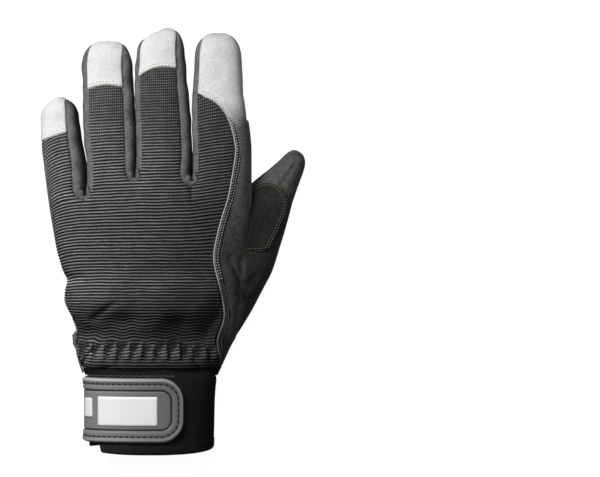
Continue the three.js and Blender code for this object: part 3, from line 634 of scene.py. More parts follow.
def set_uv(bm, name, values):
    """Keep a pair of numbers for each vertex as a UV map."""
    layer = bm.loops.layers.uv.new(name)
    for f in bm.faces:
        for loop in f.loops:
            loop[layer].uv = values[loop.vert]


FINGERS_Y, FINGERS_Z = 50, 14  # where the fingers have begun, and the height of their middle


def hand_centre(p):
    """A point inside the hand, or inside a finger, at the height of a point of its sheet."""
    if p.y > FINGERS_Y:
        return Vector((p.x, p.y, FINGERS_Z))
    return Vector((0, p.y, hand_section(max(p.y, WRIST_Y))[2]))


def glove_sheet(columns_of, slit_rows, top_rows, place):
    """The hand and its four fingers in one sheet. place(finger, row, across) gives a point and its UV."""
    starts = [sum(columns_of[:i]) for i in range(5)]
    bm, column, row = grid(starts[4], max(top_rows))
    slits = [e for e in bm.edges
             if e.verts[0][column] == e.verts[1][column] and e.verts[0][column] in starts[1:4]
             and min(v[row] for v in e.verts) >= slit_rows[starts.index(e.verts[0][column]) - 1]]
    bmesh.ops.split_edges(bm, edges=slits)
    owner, gone = {}, []
    for f in bm.faces:
        c = sum(v[column] for v in f.verts) / 4
        finger = next(i for i in range(4) if c < starts[i + 1])
        if min(v[row] for v in f.verts) >= top_rows[finger]:
            gone.append(f)
        for v in f.verts:
            owner[v] = finger
    bmesh.ops.delete(bm, geom=gone, context="FACES")
    uv = {}
    for v in bm.verts:
        finger = owner[v]
        share = (v[column] - starts[finger]) / columns_of[finger]
        v.co, uv[v] = place(finger, v[row], -1 + 2 * share)
    set_uv(bm, "rows", uv)
    return bm


def tube(points, ups, radius, name, material, sides=8, flat=1.0):
    """A round bead along a line, closed at both ends. radius is a function of the share of its length."""
    count = len(points) - 1
    bm, column, row = grid(sides, count)
    for v in bm.verts:
        i = v[row]
        along = (points[min(i + 1, count)] - points[max(i - 1, 0)]).normalized()
        side = along.cross(ups[i]).normalized()
        up = side.cross(along)
        a = 2 * pi * v[column] / sides
        r = radius(i / count) * (0.02 if i in (0, count) else 1)
        v.co = points[i] + side * (r * cos(a)) + up * (r * flat * sin(a))
    bmesh.ops.remove_doubles(bm, verts=bm.verts, dist=0.03)
    bmesh.ops.recalc_face_normals(bm, faces=bm.faces)
    add_piece(bm, name, material)


print("the tools for pieces are ready")

# %% [markdown]
# ## The knit back
# The ribs run across the hand. They are four rows of faces each, high in the middle, so that they catch
# the light at a low angle as yarn does. They droop towards the outer side of the hand.

# %% The knit's ribs
KNIT_COLUMNS = 27
ROWS_A_RIB = 4
RIB = 1.81
RIB_HEIGHT = 0.46
MOST_ROWS = 450
FINE_ABOVE = 80  # above this the ribs draw closer together
KNIT_TOPS = (86.0, 110.5, 122.0, 102.5)
CAP_SEAMS = (  # x, y along the lower edge of each fingertip's cap
    ((-64.5, 75.0), (-57, 78.0), (-49, 80.4), (-43, 80.9)),
    ((-37, 105.6), (-31, 107.4), (-24.7, 108.2), (-18, 107.6), (-13, 106)),
    ((-7, 113.0), (-2, 116.2), (2.6, 118), (9.4, 119), (16.1, 118), (21, 116.6)),
)
RIB_DROOP = (  # y, and how far the ribs droop towards the outer edge of the hand
    (-62, -1.0), (-45, -2.0), (-29, -2.0), (-12, 2.2), (3, 3.7), (20, 5.2), (37, 8.0), (50, 9.5), (63, 11.0),
    (95, 10.0),
)


def rib_y(row, u):
    """The height at which a rib's row crosses the line u, counted in fingers from the outer edge."""
    y = WRIST_Y + row * RIB / ROWS_A_RIB
    y -= 0.0025 * max(0, y - FINE_ABOVE) ** 2
    rise = smooth(0, 45, y)
    droop = at(RIB_DROOP, y)[0] * (1 - u) ** 1.5 if u < 1 else 0
    return y - droop + rise * (1.5 * clamp(u - 1) + 0.8 * clamp(u - 2) + 3.2 * clamp(u - 3))


def row_at(u, y):
    return min(range(MOST_ROWS), key=lambda row: abs(rib_y(row, u) - y))


SLIT_ROWS = [row_at(i, knuckle_at(i)[1]) for i in (1, 2, 3)]
KNIT_KNUCKLES = [KNUCKLES[0][2]] + [rib_y(SLIT_ROWS[i - 1], i) for i in (1, 2, 3)] + [KNUCKLES[4][2]]
TOP_ROWS = [row_at(i + 0.5, KNIT_TOPS[i]) for i in range(4)]
print("rows of the knit at the crotches", SLIT_ROWS, "and at the tips", TOP_ROWS)

# %% [markdown]
# At the wrist an elastic gathers the knit into upright pleats, and below them the knit dives under the
# strap. All of that is a height over the hand: broad swells and dents, narrow creases, and pleats that are
# wedges, each with its own height. The same height, lit from one side, gives the painted shade of the cloth's
# folds.

# %% The gathered wrist
PLEAT = 7.5
PLEAT_START = 33.2  # how far left of the middle the first pleat starts
PLEATS_Y = (-57, -29)
ALL_FLAT_Y = 14  # above this the knit lies flat
SWELLS = (  # y, and the height of the gathered cloth over the hand
    (-62, -5.5), (-59.5, -4.2), (-57, -1.8), (-53.5, -0.4), (-49.5, -1.0), (-44.5, -3.1), (-40, -4.9),
    (-36.5, -4.9), (-31, -3.3), (-24, -0.6), (-16, 1.3), (-10, 1.6), (-4, 0.7), (1, 0.1), (6, 0.0),
)
DENTS = (  # x, y, width, height and depth of a broad dent
    (-15.5, -29, 12, 6, 2.0), (17, -31.5, 9, 6.5, 2.0), (-36.5, -37, 8, 4, 1.5), (40, -36, 10, 9, 1.4),
    (10, -1, 26, 6.5, 1.2), (-47, -4, 9, 3, 2.2), (-30, -18, 12, 5, -0.9), (-2, -33, 8, 5, -1.0),
    (34, -16, 7, 12, -0.8),
)
CREASES = (  # the ends of a narrow crease, its width and its depth
    ((-34.7, -47.5), (-40.4, -57.3), 1.3, 1.9),
    ((22.9, -47.5), (32.6, -58.4), 1.4, 1.9),
    ((-24.0, -56.5), (-31.0, -58.5), 1.0, 0.9),
    ((-20.0, -19.0), (-33.0, -28.0), 2.2, 0.9),
)
LIGHT_SIDE = (-0.62, 0.78)  # the horizontal direction from which the cloth's folds are lit
SLOPE_STEP = 0.6


def bell(value, middle, wide):
    return 2.718 ** (-((value - middle) / wide) ** 2)


def nearest(x, y, a, b):
    """How far a point is from the line between a and b, and the line's nearest point."""
    dx, dy = b[0] - a[0], b[1] - a[1]
    t = clamp(((x - a[0]) * dx + (y - a[1]) * dy) / (dx * dx + dy * dy + 1e-12))
    px, py = a[0] + t * dx, a[1] + t * dy
    return hypot(px - x, py - y), px, py


def pleat_at(x, y):
    """The pleats at a point: height from 0 to 1, share across one, its own noise, and how much shows."""
    sway = x + 1.2 * wander(x * 0.11, y * 0.06, 1) + 0.5 * wander(x * 0.3, y * 0.25, 4)
    phase = (sway + PLEAT_START) / PLEAT
    number = phase // 1
    across = phase - number
    own = wander(number * 3.7, 7.3, 1.1)
    wide = 0.3 + 0.62 * (1 - smooth(-49.0, -41.5, y))
    ridge = smooth(1 - wide, 1 - 0.35 * wide, across) * (1 - smooth(0.86, 1, across))
    band = smooth(-54.0, -49.0 + 2 * own, y) * (1 - smooth(-43.2 + 4 * own, -40.4 + 4 * own, y))
    return ridge, across, own, band


def pleat_lift(x, y):
    """The pleats below the gathered line: wedges that are narrow at the line and fade out below it."""
    if not PLEATS_Y[0] <= y <= PLEATS_Y[1]:
        return 0
    ridge, across, own, band = pleat_at(x, y)
    return (1.7 + own) * ridge * band


def gathers(x, y):
    """How far the knit stands out from the hand, in swells, dents, creases and pleats."""
    lift = at(SWELLS, y)[0] if y < SWELLS[-1][0] else 0
    if y > ALL_FLAT_Y:
        return lift
    lift += pleat_lift(x, y)
    for dent_x, dent_y, wide, high, depth in DENTS:
        lift -= depth * bell(x, dent_x, wide) * bell(y, dent_y, high)
    for a, b, wide, depth in CREASES:
        lift -= depth * bell(nearest(x, y, a, b)[0], 0, wide)
    return lift + 1.6 * wander(x * 0.045, y * 0.06, 3) * (1 - smooth(-8, 12, y))


def lit(height, x, y, strength):
    """Painted light: less on the far slopes of a height's folds, and more on the near ones."""
    here = height(x, y)
    right, up = height(x + SLOPE_STEP, y) - here, height(x, y + SLOPE_STEP) - here
    return 1 - strength * (right * LIGHT_SIDE[0] + up * LIGHT_SIDE[1]) / SLOPE_STEP


def fold_shade(x, y):
    """The painted shade of the gathered cloth, darker between the pleats and below the gathers, with a painted
    highlight on the pleats' ridges.
    """
    if y > ALL_FLAT_Y:
        return 1.0
    ridge, across, own, band = pleat_at(x, y)
    pleats = 1 - 0.72 * band + 1.25 * band * ridge
    depth = 1 - 0.5 * bell(y, -38.5, 7.5) + 0.75 * bell(y, -52.5, 4)
    return clamp(lit(gathers, x, y, 1.3) * (pleats * depth), 0.12, 2.2)


print("height of the gathered cloth at three places:", [round(gathers(x, -48), 1) for x in (-20, 0, 20)])

# %% [markdown]
# Each vertex of the sheet goes to its rib's place on the hand. The ribs wander a little, bend over the
# pleats, wave above the gathers, and sink at the sheet's edges, where it is sewn down, and under the caps.


# %% Build the knit back
def knit_bends(x, y):
    """How far a rib is pushed along the hand, by the pleats and by the waves above them."""
    ridge, across_pleat, own, band = pleat_at(x, y)
    waves = smooth(-46, -40, y) * (1 - smooth(-31, -22, y)) * (0.7 + wander(x * 0.09, 3, 8))
    sway = 4 * wander(x * 0.05, y * 0.07, 31)
    return band * (1.2 + own) * (across_pleat - 0.6) + 0.8 * waves * cos(2 * pi * (x + 10.6 + sway) / 13.6)


def knit_place(finger, row, across):
    u = finger + (across + 1) / 2
    knuckle = mix(KNIT_KNUCKLES[finger], KNIT_KNUCKLES[finger + 1], u - finger)
    y = rib_y(row, u)
    x = panel_point(True, finger, y, 0, across, 0, knuckle).x
    y += 0.30 * wander(x * 0.10, y * 0.35, 5) + 0.12 * wander(x * 0.5, y, 6)
    y += knit_bends(x, y)
    edge = smooth(0.94, 1.0, abs(across)) * smooth(-2, 4, y - knuckle)
    if finger == 3 and across > 0:
        edge = smooth(0.97, 1.0, across)
    if finger == 0 and across < 0:
        edge = smooth(-0.96, -1.0, across)
    rim = {0: -across, 3: across}.get(finger, 0)
    side = 1 - 0.85 * smooth(0.55, 1.0, rim)
    relief = RIB_HEIGHT * (1 - 0.4 * smooth(60, 110, y)) * (1 - 0.95 * smooth(0.75, 0.97, rim))
    drape = 0.5 * wander(x * 0.05, y * 0.05, 20) * smooth(-10, 15, y)
    crest = cos(2 * pi * row / ROWS_A_RIB)
    out = relief * crest * (1 - 0.5 * edge) + gathers(x, y) * side + drape - 0.5 * edge
    if finger < 3:
        out -= 1.1 * smooth(-1, 1.5, y - at(CAP_SEAMS[finger], x)[0])
    return panel_point(True, finger, y, 0, across, out, knuckle), (x, row / ROWS_A_RIB)


knit = glove_sheet([KNIT_COLUMNS] * 4, SLIT_ROWS, TOP_ROWS, knit_place)
# the folds UV map holds painted shade and painted highlight for the knit's colour
set_uv(knit, "folds", {v: (fold_shade(v.co.x, v.co.y), 0) for v in knit.verts})
knit_tree = sheet_piece(knit, hand_centre, "knit_back", KNIT, "back_panel", 1.0)

# %% [markdown]
# ## The suede palm
# One piece of suede makes the palm, the fingers' fronts and the round tips, and it wraps round the index
# side on to the back. It is the glove's biggest pattern piece. Soft creases come from smooth noise, and a
# short table has the folds beside the thumb.

# %% Folds and slants of the suede palm
PALM_COLUMNS = [12, 12, 12, 40]
PALM_HAND_ROWS = 64
PALM_FINGER_ROWS = 58
DOME_ROWS = 14
LAST_Y = [rows[-1][0] for name, rows, tip in FINGERS]
SUEDE_LIFT = 0.45
TIP_SLANTS = (4.0, 0.0, 5.0, 1.2)  # millimetres by which each tip is lower on its outer side


def slanted(p, finger, across, turn):
    """A point of a round tip, lowered towards the tip's outer side."""
    lower = TIP_SLANTS[finger] * ((1 - across) / 2) ** 2.3
    if finger == 0:
        lower += 0.8 + 1.4 * smooth(0.3, 1, across)
    return p - Vector((0, lower * sin(radians(turn)) ** 1.5, 0))


def creases(p, size=0.03, depth=0.7):
    """The height of soft irregular creases at a point."""
    a = wander(p.x * size, p.y * size * 1.6, p.z * size)
    b = wander(p.x * size * 3, p.y * size * 2.2, p.z * size * 3 + 9)
    return depth * a + 0.35 * depth * b


SIDE_FOLDS = (  # the ends of a long soft fold beside the thumb, its width and its height
    ((46.6, 0), (49.4, -11), 2.6, 1.5), ((47.4, 8), (53.2, -9), 1.3, -1.4), ((53.6, 6), (55, -18), 1.9, -1),
    ((57.4, 7), (57.2, -11), 1.5, 1.0), ((48, -24), (50, -40), 3.0, 0.9), ((52.6, -20), (51.4, -38), 2, -1),
)


def folds_at(folds, x, y):
    """The height at a point of folds that each run along a line."""
    return sum(height * bell(nearest(x, y, a, b)[0], 0, wide) for a, b, wide, height in folds)


def side_folds(x, y):
    return folds_at(SIDE_FOLDS, x, y)


print("the fold beside the thumb stands", round(side_folds(48, -5), 1), "mm high")

# %% [markdown]
# The sheet's rows run from the wrist to the knuckles, then up each finger, and at last round its tip. Its
# edges sink where it is sewn to its neighbours.


# %% Build the suede palm
def palm_place(finger, row, across):
    share = (across + 1) / 2
    knuckle = knuckle_at(finger + share)[1]
    row -= PALM_HAND_ROWS
    turn = 0
    if row <= 0:
        y = mix(WRIST_Y, knuckle, 1 + row / PALM_HAND_ROWS)
    elif row <= PALM_FINGER_ROWS - DOME_ROWS:
        t = row / (PALM_FINGER_ROWS - DOME_ROWS)
        middle = knuckle_at(finger + 0.5)[1]
        y = mix(middle, LAST_Y[finger], t) + (knuckle - middle) * (1 - t) ** 2
    else:
        y = LAST_Y[finger]
        turn = 90 * (row - PALM_FINGER_ROWS + DOME_ROWS) / DOME_ROWS
    flat = panel_point(False, finger, y, turn, across, 0, knuckle)
    edge = smooth(0.95, 1.0, abs(across)) if row > 0 and turn < 50 else 0
    if finger == 3 and across > 0:
        edge = smooth(0.985, 1.0, across) if turn < 50 else 0
    if finger == 0 and across < -0.9:
        edge = smooth(-0.97, -1.0, across)
    wrap = SUEDE_LIFT * smooth(0.0, 0.3, across) if finger == 3 else 0
    soft = creases(flat) * (0.25 if flat.z < 6 else 1) + side_folds(flat.x, flat.y)
    out = wrap + soft * (1 - edge) - 0.6 * edge
    p = panel_point(False, finger, y, turn, across, min(out, 2.0), knuckle)
    return slanted(p, finger, across if finger < 3 else clamp(across * 2 + 1, -1, 1), turn), (flat.x, flat.y)


palm = glove_sheet(PALM_COLUMNS, [PALM_HAND_ROWS] * 3, [PALM_HAND_ROWS + PALM_FINGER_ROWS] * 4, palm_place)
# painted shade of the side folds, lit from one side, for the charcoal suede
set_uv(palm, "folds", {v: (lit(side_folds, v.co.x, v.co.y, 0.8) if v.co.z > 14 else 1, 0)
                       for v in palm.verts})
palm_tree = sheet_piece(palm, hand_centre, "suede_palm", PALM_SUEDE, "palm_panel", 1.1)

# %% [markdown]
# ## Fingertip caps
# The little, ring and middle fingers have pale caps on their backs. Their lower edge is folded under and
# sewn down over the knit, so the cap starts with a soft raised lip.

# %% Build the caps
CAP_COLUMNS = 28
CAP_ROWS = 26
cap_trees = []


def cap_point(finger, across, share):
    """A point of a cap, by its place across the finger and its share of the way to the tip."""
    seam_x = panel_point(True, finger, at(CAP_SEAMS[finger], 0)[0] - 2, 0, across, 0).x
    start = at(CAP_SEAMS[finger], seam_x)[0]
    straight = max(LAST_Y[finger] - start, 0.5)
    length = straight + FINGERS[finger][2] * pi / 2
    run = length * share
    y, turn = start + run, 0
    if run > straight:
        y, turn = LAST_Y[finger], 90 * (run - straight) / (length - straight)
    side = smooth(0.93, 1.0, abs(across if finger else max(across, -0.5))) * clamp(1 - turn / 80)
    lip = 0.35 * smooth(0, 1.2, run) * (1 - smooth(1.6, 4.5, run)) - 0.45 * (1 - smooth(0, 0.9, run))
    soft = 0.45 * wander(across * 2 + finger * 5, run * 0.12, 4)
    out = 0.65 + lip + soft * (1 - side) - 0.9 * side
    return slanted(panel_point(True, finger, y, turn, across, out), finger, across, turn)


for finger, name in enumerate(("little", "ring", "middle")):
    bm, column, row = grid(CAP_COLUMNS, CAP_ROWS)
    for v in bm.verts:
        v.co = cap_point(finger, -1 + 2 * v[column] / CAP_COLUMNS, v[row] / CAP_ROWS)
    cap_trees.append(sheet_piece(bm, lambda p: Vector((p.x, p.y - 4, 2)), f"cap_{name}", TIP_SUEDE,
                                 f"tip_cap_{name}", 1.0))

# %% [markdown]
# ## Gussets
# A narrow strip of cloth runs down one finger's side, round the crotch and up the next finger. Its edges
# lie a little under the panels that it is sewn to, which leaves a dark seam line on each side.

# %% Build the gussets
GUSSET_COLUMNS = 18
LEG_ROWS = 46
STRAIGHT_SHARE = 0.8  # of a leg's rows, and the rest go round the tip


def leg_point(finger, t, s, right_side):
    """t runs from the crotch to the tip, s from the strip's back edge to its palm edge."""
    across = 1 if right_side else -1
    crotch_x, crotch_y = knuckle_at(finger + (1 if right_side else 0))
    y, turn = LAST_Y[finger], 0
    if t < STRAIGHT_SHARE:
        y = mix(crotch_y, y, (t / STRAIGHT_SHARE) ** 1.15)
    else:
        turn = (GUSSET_END + (15 if finger == 0 else 3)) * (t - STRAIGHT_SHARE) / (1 - STRAIGHT_SHARE)
    back_edge = BACK_EDGES[finger][1] if right_side else 180 - BACK_EDGES[finger][0]
    palm_edge = PALM_EDGES[finger][1] if right_side else PALM_EDGES[finger][0] - 180
    narrow = narrowing(turn, finger)
    local = mix(back_edge * narrow + 4, -palm_edge * narrow - 4, s)
    tuck = 1 - smooth(0.0, 0.10, min(s, 1 - s))
    touch = 0.75 * (1 - smooth(8, 26, y - crotch_y))
    roll = -0.25 + touch * smooth(0.35, 0.5, s) + (1.7 if right_side else 1.2) * bell(s, 0.24, 0.16)
    roll *= 1 - 0.7 * smooth(30, 80, turn)
    out = mix(roll, -1.2, max(tuck, 1 - smooth(0.02, 0.22, narrow)))
    p = Vector(finger_point(finger, y, turn, local if right_side else 180 - local, out))
    steep = 2.6 * smooth(0.15, 0.5, s) * (1 - smooth(0.6, 0.95, s)) if right_side else 0
    p += Vector((across * 0.6 * wander(finger * 9 + across, y * 0.13, 3) * (1 - turn / 90), 0,
                 0.6 * noise.noise(p * 0.15) - steep * (1 - clamp(turn / 60))))
    if turn > 0:
        return slanted(p, finger, across, turn)
    top, low = (panel_point(back, finger, y, 0, across, -0.5).z for back in (True, False))
    upright = Vector((crotch_x - across * 0.25, y, mix(top, low, s)))
    return upright.lerp(p, crotch_opening(y - crotch_y))


def behind_leg(crotch_x, crotch_y):
    """Well above the crotch, a point behind each leg's faces, which look towards the slit."""
    def centre(p):
        return p - Vector((1 if p.x < crotch_x else -1, 0, 0)) if p.y > crotch_y + 8 else p
    return centre


for finger in range(3):
    bm, column, row = grid(GUSSET_COLUMNS, LEG_ROWS * 2)
    folds = {}
    for v in bm.verts:
        s = v[column] / GUSSET_COLUMNS
        t = abs(v[row] - LEG_ROWS) / LEG_ROWS
        first_leg = v[row] <= LEG_ROWS
        # painted shade: each strip is darker away from its back edge, most on the first leg, where it turns
        # from the light
        far = smooth(0.07, 0.27, s + 0.10 * wander(t * 9, finger, 2))
        folds[v] = (1.12 - (0.85 if first_leg else 0.3) * far * smooth(0.03, 0.12, t), 0)
        v.co = leg_point(finger if first_leg else finger + 1, t, s, first_leg)
    set_uv(bm, "folds", folds)
    left, right = FINGERS[finger][0], FINGERS[finger + 1][0]
    sheet_piece(bm, behind_leg(*knuckle_at(finger + 1)), f"gusset_cloth_{left}_{right}", TRICOT_WITH_PAINTED_SHADE,
                f"gusset_{left}_{right}", 0.7)

# %% [markdown]
# At each crotch the gusset's strip is folded round the end of the slit, and shows as a small rounded welt.
# It is a bead that is swept down one finger's edge, round the crotch and up the next finger's edge.

# %% Build the welts at the crotches
UP = Vector((0, 0, 1))
WELT_RADIUS = 2.5  # of the bend round the crotch


def welt_radius(share):
    """Thick and blunt where the welt starts, and thin at its far end."""
    return (2.1 - 1.2 * share) * sqrt(clamp(share / 0.14 + 0.06)) * (1 - 0.6 * smooth(0.8, 1, share))


def welt_line():
    """Down beside one finger, half way round, and up beside the next."""
    r = WELT_RADIUS
    down = [2.4 * (1 - step / 6) for step in range(6)]
    bend = [pi + pi * step / 18 for step in range(19)]
    up = [0.55 * step for step in range(1, 11)]
    return ([Vector((0.4 * t - r, t, -0.12 * t * t)) for t in down]
            + [Vector((r * cos(a), r * sin(a), 0)) for a in bend]
            + [Vector((r - 0.9 * smooth(0, 3, t) + 0.05 * t, t, -0.07 * t * t)) for t in up])


for crotch in (1, 2, 3):
    x, y = knuckle_at(crotch)
    middle = Vector((x + 1.0, y + 3.6, panel_point(True, crotch, y + 1, 0, -1, 0).z - 0.3))
    points = [middle + p for p in welt_line()]
    tube(points, [UP] * len(points), welt_radius, f"welt_{crotch}", GUSSET_CLOTH, sides=10)

# %% [markdown]
# ## The thumb
# The thumb is a tube of its own that leans away from the hand and lies lower than it. Charcoal suede
# covers its back and the palm's grey suede its front. The back has a raised seam near the tip, and folds
# below the patch, where the thumb bends away from the hand.

# %% The form of the thumb
THUMB_TIP = (86.4, 70)
THUMB_TURN = radians(28)
THUMB = (  # distance from the tip, offset, half width, height of the middle, half height
    (14, 0.9, 9.0, 8.6, 8.7), (22, -0.2, 11.2, 9.6, 9.8), (31, -1.2, 13.8, 10.4, 10.6),
    (45, 0.0, 15.5, 11.6, 11.8), (60, 1.4, 17.3, 12.6, 12.8), (74, 1.1, 19.4, 13.3, 13.4),
    (86, -0.5, 21.1, 13.8, 13.8), (97, -2.5, 22.9, 14.4, 14.0), (108, -5.5, 25.5, 15.0, 14.0),
    (118, -6.0, 24.8, 18.0, 11.0), (126, -5, 23.0, 20.0, 6.0),
)
THUMB_DOME = 14
THUMB_ROWS = 80
THUMB_COLUMNS = 34
THUMB_SEAMS = (-28, 168)
THUMB_POWER = 2.1
THUMB_LENGTH = 124
DOME_SHARE = 0.16  # the share of the rows that the round tip has
THUMB_CREASES = (  # along and across the thumb: the ends of a fold, its width and its height
    ((67, -2), (88, 12), 2.0, 1.0), ((70, -6), (92, 8), 1.8, -1.5), ((76, 13), (92, 8), 1.6, -1.5),
    ((92, 8), (112, 2), 2.0, -1.5),
)


def thumb_point(along, turn, angle, out):
    offset, half, middle, height = at(THUMB, along)
    t = radians(turn)
    taper = sin(t) * (1 - sin(t))
    high = (height + out) * max(cos(t), 0.02)
    section = (offset + 2.7 * taper, (half + out) * cos(t * 0.95) * (1 - 0.45 * taper), middle, high, high)
    across, z = section_point(section, angle, 0, THUMB_POWER, THUMB_POWER)
    along -= (THUMB_DOME + out) * sin(t)
    return Vector((THUMB_TIP[0] - along * sin(THUMB_TURN) + across * cos(THUMB_TURN),
                   THUMB_TIP[1] - along * cos(THUMB_TURN) - across * sin(THUMB_TURN), max(z, -min(out, 0))))


def thumb_row(share):
    """The place on the thumb for a share of its length from the tip."""
    if share < DOME_SHARE:
        return THUMB_DOME, 90 * (1 - share / DOME_SHARE)
    return mix(THUMB_DOME, THUMB_LENGTH, (share - DOME_SHARE) / (1 - DOME_SHARE)), 0


def thumb_folds(along, across):
    fade = smooth(62, 70, along) * (1 - smooth(98, 110, along))
    return fade * folds_at(THUMB_CREASES, along, across)


def tip_seam(along, turn, s):
    """The raised seam on the thumb's back near its tip, and the dip beside it."""
    ridge = mix(0.655, 0.60, clamp(along / 60))
    fade = (1 - smooth(26, 34, along)) * (1 - smooth(10, 60, turn))
    return (0.9 * bell(s, ridge, 0.035) - 0.5 * bell(s, ridge - 0.08, 0.03)) * fade


print("the thumb's base is at", [round(v, 1) for v in thumb_point(THUMB_LENGTH, 0, 90, 0)])

# %% [markdown]
# Both of the thumb's pieces are grids round the tube, from one side seam to the other. At the tip each of
# them closes to half of the tube.


# %% Build the thumb
def thumb_sheet(start, end, lift, upper, name, material, slot, *cut):
    bm, column, row = grid(THUMB_COLUMNS, THUMB_ROWS)
    for v in bm.verts:
        along, turn = thumb_row(v[row] / THUMB_ROWS)
        close = 1 - smooth(40, 90, turn)
        s = v[column] / THUMB_COLUMNS
        angle = mix(mix(0 if upper else 180, start, close), mix(180 if upper else 360, end, close), s)
        edge = smooth(0.92, 1.0, abs(2 * s - 1)) * (1 - smooth(15, 60, turn))
        base = thumb_point(along, turn, angle, 0)
        out = lift + creases(base, 0.045, 0.9) * (1 - edge) * (0.3 if base.z < 5 else 1) - 0.7 * edge
        if upper:
            offset, half = at(THUMB, along)[:2]
            out += tip_seam(along, turn, s) + thumb_folds(along, offset + half * cos(radians(angle)))
        v.co = thumb_point(along, turn, angle, min(out, 1.5))
    return sheet_piece(bm, lambda p: Vector((p.x, p.y, 12)), f"suede_{name}", material, name, 1.1)


thumb_front_tree = thumb_sheet(THUMB_SEAMS[1], THUMB_SEAMS[0] + 360, 0.2, False, "thumb_front",
                               THUMB_FRONT_SUEDE, "suede", 66, 130, "laid")
thumb_back_tree = thumb_sheet(*THUMB_SEAMS, 0.1, True, "thumb_back", DARK_SUEDE, "dark_suede",
                              72, 130, "stretched", "thumb_front")

# %% [markdown]
# ## Second-layer patches
# Patches are cut flat from suede and sewn on. Each starts as a flat grid that is trimmed to its outline,
# like cutting with scissors: faces outside are deleted, and the rim's vertices move on to the outline.
# Then it is laid on what carries it, thick in the middle and rolled down at its sewn edge.


# %% Cutting along an outline
def nearest_on(outline, x, y):
    """How far a point is from a closed outline, and the outline's nearest point."""
    return min((nearest(x, y, a, b) for a, b in zip(outline, outline[1:] + outline[:1])), key=lambda n: n[0])


def inside(outline, x, y):
    """Whether a point is within a closed outline, by counting the edges to one side of it."""
    hit = False
    for (ax, ay), (bx, by) in zip(outline, outline[1:] + outline[:1]):
        if (ay > y) != (by > y) and x < ax + (bx - ax) * (y - ay) / (by - ay):
            hit = not hit
    return hit


def rounded(outline, radius, steps=5):
    """The outline with each corner rounded off."""
    points = []
    count = len(outline)
    for i, (x, y) in enumerate(outline):
        (ax, ay), (bx, by) = outline[i - 1], outline[(i + 1) % count]
        la, lb = hypot(ax - x, ay - y), hypot(bx - x, by - y)
        r = min(radius, la * 0.45, lb * 0.45)
        start = (x + (ax - x) / la * r, y + (ay - y) / la * r)
        end = (x + (bx - x) / lb * r, y + (by - y) / lb * r)
        for k in range(steps + 1):
            t = k / steps
            points.append(((1 - t) ** 2 * start[0] + 2 * t * (1 - t) * x + t * t * end[0],
                           (1 - t) ** 2 * start[1] + 2 * t * (1 - t) * y + t * t * end[1]))
    return points


def cut_out(outline, cell):
    """A flat grid trimmed to an outline, and each vertex's distance from its rim."""
    xs, ys = [p[0] for p in outline], [p[1] for p in outline]
    wide, high = max(xs) - min(xs), max(ys) - min(ys)
    bm, column, row = grid(max(2, round(wide / cell)), max(2, round(high / cell)))
    for v in bm.verts:
        v.co = (mix(min(xs), max(xs), (v.co.x + 1) / 2), mix(min(ys), max(ys), (v.co.y + 1) / 2), 0)
    outside = [f for f in bm.faces if not inside(outline, *f.calc_center_median().xy)]
    bmesh.ops.delete(bm, geom=outside, context="FACES")
    for v in bm.verts:
        if v.is_boundary:
            v.co.xy = nearest_on(outline, *v.co.xy)[1:]
    for _ in range(3):
        bmesh.ops.smooth_vert(bm, verts=[v for v in bm.verts if not v.is_boundary], factor=0.5,
                              use_axis_x=True, use_axis_y=True)
    rim = {v: nearest_on(outline, *v.co.xy)[0] for v in bm.verts}
    return bm, rim


def under(trees, x, y, up=True):
    """Where a straight line up (or down) through x, y first meets a surface, and its direction out."""
    hits = [t.ray_cast(Vector((x, y, -30 if up else 90)), Vector((0, 0, 1 if up else -1))) for t in trees]
    hits = [h for h in hits if h[0] is not None]
    if not hits:
        return None
    hit = min(hits, key=lambda h: h[0].z if up else -h[0].z)
    normal = hit[1].normalized()
    if (normal.z > 0) == up:
        normal = -normal
    return hit[0], normal


def rolled(from_rim, edge, rise, wide):
    """How far a patch stands out: low at its sewn edge, and full from a short way in."""
    return edge + rise * sqrt(clamp(from_rim / wide))


PATCH_THICK = 0.9
print("patch tools are ready")

# %% [markdown]
# ## The palm's patches
# The big patch covers the palm's outer half, with a tab towards the little, the ring and the middle finger.
# It is laid on the palm by a straight line up from each of its points.

# %% Build the palm's patch
PALM_OUTLINE = rounded([
    (-40.2, -40.0), (-34.5, -40.4), (-19.2, -38.3), (-3.8, -34.7), (-3.8, -27.6), (0.8, -14.8), (11.5, 1.6),
    (23.1, 17.3), (27.6, 24.4), (26.1, 33), (16.9, 45.7), (14.6, 55.6), (9.6, 57.7), (3.2, 56.3),
    (1.6, 50.3), (-7.4, 40.8), (-12.3, 42.6), (-12.6, 52.8), (-23.8, 53.6), (-25.9, 39.0), (-33.4, 29.4),
    (-39.9, 28.0), (-42.5, 44.7), (-56.4, 44.4), (-53.8, 30), (-51.3, 15), (-47.2, 0), (-45.0, -12),
    (-43.6, -25),
], 2.0)
bm, rim = cut_out(PALM_OUTLINE, 1.3)
hits = {v: under([palm_tree], v.co.x, v.co.y) for v in bm.verts}
bmesh.ops.delete(bm, geom=[v for v in bm.verts if hits[v] is None], context="VERTS")
for v in bm.verts:
    p, n = hits[v]
    q = p + n * rolled(rim[v], 0.25, 1.15, 1.6)
    v.co = (q.x, q.y, max(q.z, 0.0))
palm_patch_tree = sheet_piece(bm, lambda p: Vector((p.x, p.y, p.z + 30)), "suede_patch_palm", PATCH_SUEDE,
                              "palm_patch", PATCH_THICK)

# %% [markdown]
# The index finger's patch wraps round the finger's side, where its folded edge shows from above as a small
# step. Its pattern is drawn flat, with degrees round the finger across and millimetres along it. Below the
# knuckle its underside is set on the palm.

